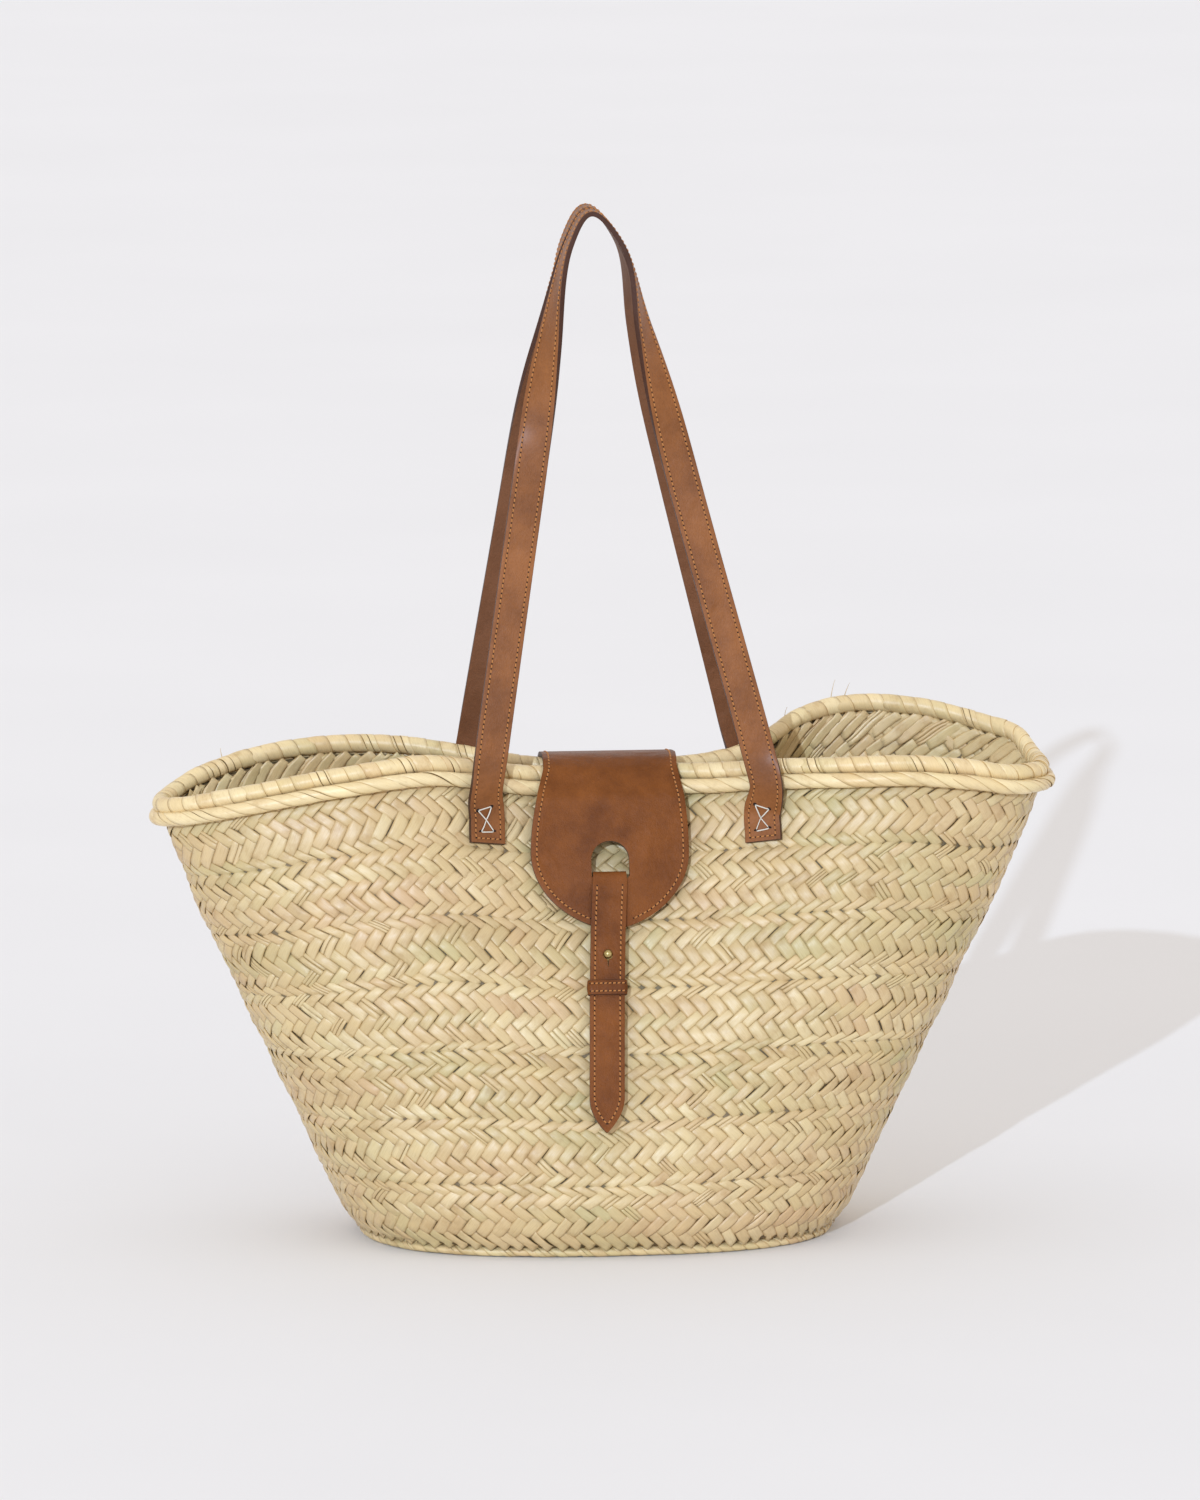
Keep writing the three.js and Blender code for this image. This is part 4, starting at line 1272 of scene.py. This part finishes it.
# ---- Closure ----

CLOSURE_DOWN = unit(np.array([0, -CLOSURE_SLOPE, -1.0]))
CLOSURE_OUT = np.array([0, CLOSURE_DOWN[2], -CLOSURE_DOWN[1]])
CLOSURE_LENGTH = (CLOSURE_TOP - CLOSURE_BOTTOM) / -CLOSURE_DOWN[2]
CLOSURE_THICK = 2.5
CLOSURE_POINT = 20.0  # length over which the strap narrows to its tip
ACROSS = np.array([1.0, 0, 0])


def closure_spot(height):
    """The strap's middle at a height."""
    share = (CLOSURE_TOP - height) / (CLOSURE_TOP - CLOSURE_BOTTOM)
    top = np.array([closure_x(share), -CLOSURE_DEPTH, CLOSURE_TOP])
    return top + CLOSURE_DOWN * share * CLOSURE_LENGTH


def closure_half_width(s, total):
    """Half the strap's width at a distance s along it, and how far into its point that is."""
    point_share = np.clip((s - (total - CLOSURE_POINT)) / CLOSURE_POINT, 0, 1)
    return CLOSURE_WIDTH / 2 * (1 - point_share**2.0 * 0.96), point_share


def closure_x(share):
    """The strap hangs a little to the left: x of its middle at a share of the way down."""
    return np.interp(share, [0, 0.2, 0.45, 1.0], [CLOSURE_X - 0.6, -3.4, -5.2, -8.0])


def closure_line():
    """The strap's middle line: up behind the panel, forward through the hole and down in front."""
    behind = -(LEATHER / 2 + 0.4 + 1.3)
    hole_bottom = HOLE_DISTANCE + HOLE_RADIUS
    start = np.array([0, -FOLD_DEPTH, FOLD_HEIGHT])
    rise = (hole_bottom + 26, hole_bottom + 12, hole_bottom)
    points = [start + PANEL_DOWN * distance + PANEL_OUT * behind for distance in rise]
    points.append(start + PANEL_DOWN * (hole_bottom - 2.6) + PANEL_OUT * -1.2)
    points.append(start + PANEL_DOWN * (hole_bottom - 2.9) + PANEL_OUT * 1.4)
    front = np.array([0, -CLOSURE_DEPTH, CLOSURE_TOP])
    for distance in (2.2, 8.0, 40.0, 80.0, 120.0, CLOSURE_LENGTH):
        bow = 0.9 * math.sin(math.pi * distance / CLOSURE_LENGTH)
        points.append(front + CLOSURE_DOWN * distance + CLOSURE_OUT * (bow - 0.1))
    return catmull(points, 900)


def build_closure():
    """The strap that closes the flap, its stitches, its keeper and the stud it buttons on."""
    line, travel = closure_line()
    total = travel[-1]
    fold_s = total - CLOSURE_LENGTH

    def closure_surface(u, v):
        s = np.asarray(v, float) * total
        middle = along_path(s, travel, line)
        middle[..., 0] = closure_x((s - fold_s) / CLOSURE_LENGTH)
        half, _ = closure_half_width(s, total)
        half = half - 0.4 * (1 - smoothstep(s, fold_s - 4, fold_s + 4))
        middle[..., 0] = middle[..., 0] + (u - 0.5) * -2 * half
        return middle

    strap = leather_sheet("closure_strap_leather", closure_surface, 10, 260, thickness=CLOSURE_THICK)
    r = 2.85
    outline = [(r * math.cos(a), r * math.sin(a)) for a in np.linspace(-1.4, math.pi + 1.4, 25)]
    outline += [(-0.12, -7.0), (0.12, -7.0)]  # the slit below the button hole
    cut_with(strap, outline, closure_spot(STUD_HEIGHT), ACROSS, -CLOSURE_DOWN, CLOSURE_OUT)
    place(strap, None, "flap_leather", "strap_root", "closure_strap_outer", "closure_strap_lining")
    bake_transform(strap)
    shells = Shells()
    for side in (-1, 1):
        v = np.linspace((fold_s + 3.5) / total, 1 - 3.0 / total, 700)
        half, point_share = closure_half_width(v * total, total)
        inset = 2.7 + 2.0 * point_share
        keep = half - inset > 0.3
        u = 0.5 + side * 0.5 * np.maximum(half - inset, 0) / np.maximum(half, 0.1)
        stitches_on(shells, closure_surface, u[keep], v[keep], CLOSURE_THICK)
    obj = shells.build("closure_strap_stitches", [STITCH, HOLE_SHADE])
    place(obj, "closure_strap", "waxed_thread")
    build_keeper()
    build_stud()


def build_keeper():
    """A band of folded leather round the strap, with a row of stitches along each edge."""
    middle = closure_spot(KEEPER_HEIGHT) + CLOSURE_OUT * 0.8
    wide = CLOSURE_WIDTH / 2 + 0.9
    thick = 2.35
    corner = 1.9
    height = 8.6
    path = []
    for sx, sy, first in ((1, 1, 0), (-1, 1, 90), (-1, -1, 180), (1, -1, 270)):
        for degrees in range(first, first + 91, 15):
            a = math.radians(degrees)
            x = sx * (wide - corner) + corner * math.cos(a)
            path.append((x, sy * (thick - corner) + corner * math.sin(a)))
    path.append(path[0])
    path = np.array(path)
    travel = distances(path)

    def surface(u, v):
        around = along_path(np.mod(v, 1.0) * travel[-1], travel, path)
        point = middle + CLOSURE_DOWN * ((u - 0.5) * height)[..., None]
        return point + ACROSS * around[..., :1] + CLOSURE_OUT * around[..., 1:]

    u = np.linspace(0, 1, 7)
    v = np.linspace(0, 1, 97)
    grid_u, grid_v = np.meshgrid(u, v, indexing="ij")
    point = surface(grid_u, grid_v)
    normal = surface_normal(surface, grid_u, np.clip(grid_v, 0.001, 0.999))
    normal = normal * np.sign(np.sum(normal[3, 5] * (point[3, 5] - middle)))
    crown = (0.62 + 0.22 * np.cos((grid_u - 0.5) * np.pi * 1.8))[..., None]
    shells = Shells()
    uv = np.stack([grid_u, grid_v], -1)
    shells.add(point + normal * crown, point - normal * 0.55, uv, PLAIN)
    band = shells.build("keeper_band", [TAN, EDGE])
    round_edges(band, 0.3, 2, 60)
    place(band, "keeper", "flap_leather", "strap_keeper")
    shells = Shells()
    v = np.linspace(0.04, 0.44, 200)
    for edge in (0.24, 0.76):
        u = np.full_like(v, edge)
        up = surface_normal(surface, u, v)
        up = up * np.sign(np.sum(up[100] * CLOSURE_OUT))
        stitch_line(shells, surface(u, v) + up * 0.66, up, pitch=2.5)
    obj = shells.build("keeper_stitches", [STITCH, HOLE_SHADE])
    place(obj, "keeper", "waxed_thread")


def build_stud():
    """A ball stud, turned from brass, with its washer inside the wall."""
    tilt = math.radians(16)
    axis = np.array([0, -math.cos(tilt), math.sin(tilt)])
    foot = wall_at(-1, closure_spot(STUD_HEIGHT)[0], STUD_HEIGHT - 2.0)
    ball = 2.75
    neck = 1.6
    reach = 10.3
    profile = [(0.0, -8.4), (neck, -8.4), (neck, 1.4), (3.8, 1.5), (4.0, 1.7), (4.0, 2.2),
               (3.7, 2.5), (neck, 3.1)]
    start = math.asin(neck / ball)
    for a in np.linspace(math.pi - start, 0, 18):
        profile.append((ball * math.sin(a), reach + ball * math.cos(a)))
    profile[-1] = (0.0, profile[-1][1])
    turned("stud", profile, foot, axis, "ball_stud")
    near = -(WALL_THICKNESS + 1.7)
    ring = [(2.0, near - 1.3), (2.2, near - 1.5), (6.6, near - 1.5), (7.0, near - 1.2), (7.0, near - 0.2),
            (6.8, near), (2.2, near), (2.0, near - 0.2)]
    turned("stud_backing", ring, foot, axis, "stud_washer", closed=True)


def turned(name, profile, foot, axis, cad, closed=False, sides=40):
    """A brass piece turned round an axis from its profile of (radius, height) points."""
    other = np.cross(axis, ACROSS)
    verts = []
    for r, h in profile:
        for a in np.linspace(0, 2 * np.pi, sides, endpoint=False):
            verts.append(foot + axis * h + (ACROSS * math.cos(a) + other * math.sin(a)) * r)
    mesh = bpy.data.meshes.new(name)
    mesh.from_pydata((np.array(verts) * MM).tolist(), [], ring_faces(len(profile), sides, closed))
    face_outward(mesh, weld=1e-6)
    mesh.materials.append(BRASS)
    mesh.polygons.foreach_set("use_smooth", np.full(len(mesh.polygons), True))
    return place(linked(name, mesh), "basket", "stud_brass", cad)


# ---- Studio ----


SUN_AZIMUTH = math.radians(-17)
SUN_ELEVATION = math.radians(17.5)
SUN_ANGLE = math.radians(0.5)
SUN_ENERGY = 2.03
SUN_COLOUR = (0.673, 0.805, 1.0)
SKY_COLOUR = (0.895, 0.857, 0.838, 1)
FLOOR_SIZE = 60.0  # metres from the middle to each edge
CAMERA_AZIMUTH = math.radians(-6)
CAMERA_ELEVATION = math.radians(9)
CAMERA_DISTANCE = 8.0
CAMERA_AIM = Vector((-0.001, 0, 0.280))
VIEW_HEIGHT = 0.864  # metres seen from top to bottom at the basket
SENSOR = 36  # millimetres


def direction_from(azimuth, elevation):
    """The direction towards something seen at an azimuth from the front and an elevation."""
    level = math.cos(elevation)
    return Vector((math.sin(azimuth) * level, -math.cos(azimuth) * level, math.sin(elevation)))


def paper_floor():
    """A wide sheet of pale paper."""
    size = FLOOR_SIZE
    mesh = bpy.data.meshes.new("floor")
    verts = [(-size, -size, 0), (size, -size, 0), (size, size, 0), (-size, size, 0)]
    mesh.from_pydata(verts, [], [(0, 1, 2, 3)])
    floor = linked("floor", mesh)
    material, tree, shader = new_material("paper_backdrop")
    where = tree.nodes.new("ShaderNodeTexCoord").outputs["Object"]
    grain = noise(tree, where, 3.0, 2.0, 0.5)
    tone = ramp(tree, grain, [(0.3, (0.815, 0.815, 0.82)), (0.7, (0.83, 0.83, 0.835))])
    tree.links.new(tone, shader.inputs["Base Color"])
    shader.inputs["Roughness"].default_value = 0.9
    mesh.materials.append(material)


def light_and_sky():
    """One low sun from the front left, and soft light from all round."""
    world = bpy.data.worlds.new("studio")
    bpy.context.scene.world = world
    world.use_nodes = True
    background = world.node_tree.nodes["Background"]
    background.inputs["Color"].default_value = SKY_COLOUR
    background.inputs["Strength"].default_value = 1.0
    data = bpy.data.lights.new("key", "SUN")
    data.energy = SUN_ENERGY
    data.angle = SUN_ANGLE
    data.color = SUN_COLOUR
    key = linked("key", data)
    toward = -direction_from(SUN_AZIMUTH, SUN_ELEVATION)
    key.rotation_euler = toward.to_track_quat("-Z", "Y").to_euler()


def camera():
    """A long lens that looks at the basket from a little left of the front and a little above."""
    data = bpy.data.cameras.new("camera")
    data.sensor_fit = "VERTICAL"
    data.sensor_height = SENSOR
    data.lens = SENSOR * CAMERA_DISTANCE / VIEW_HEIGHT
    offset = direction_from(CAMERA_AZIMUTH, CAMERA_ELEVATION)
    obj = linked("camera", data)
    obj.location = CAMERA_AIM + offset * CAMERA_DISTANCE
    obj.rotation_euler = (-offset).to_track_quat("-Z", "Y").to_euler()
    bpy.context.scene.camera = obj


bpy.context.scene.view_settings.view_transform = "Standard"
camera()
paper_floor()
light_and_sky()
weave_wall()
rim_and_foot()
tucked_ends()
weave_base()
loose_fibres()
build_flap()
build_handle("front", -1)
build_handle("back", 1)
build_closure()
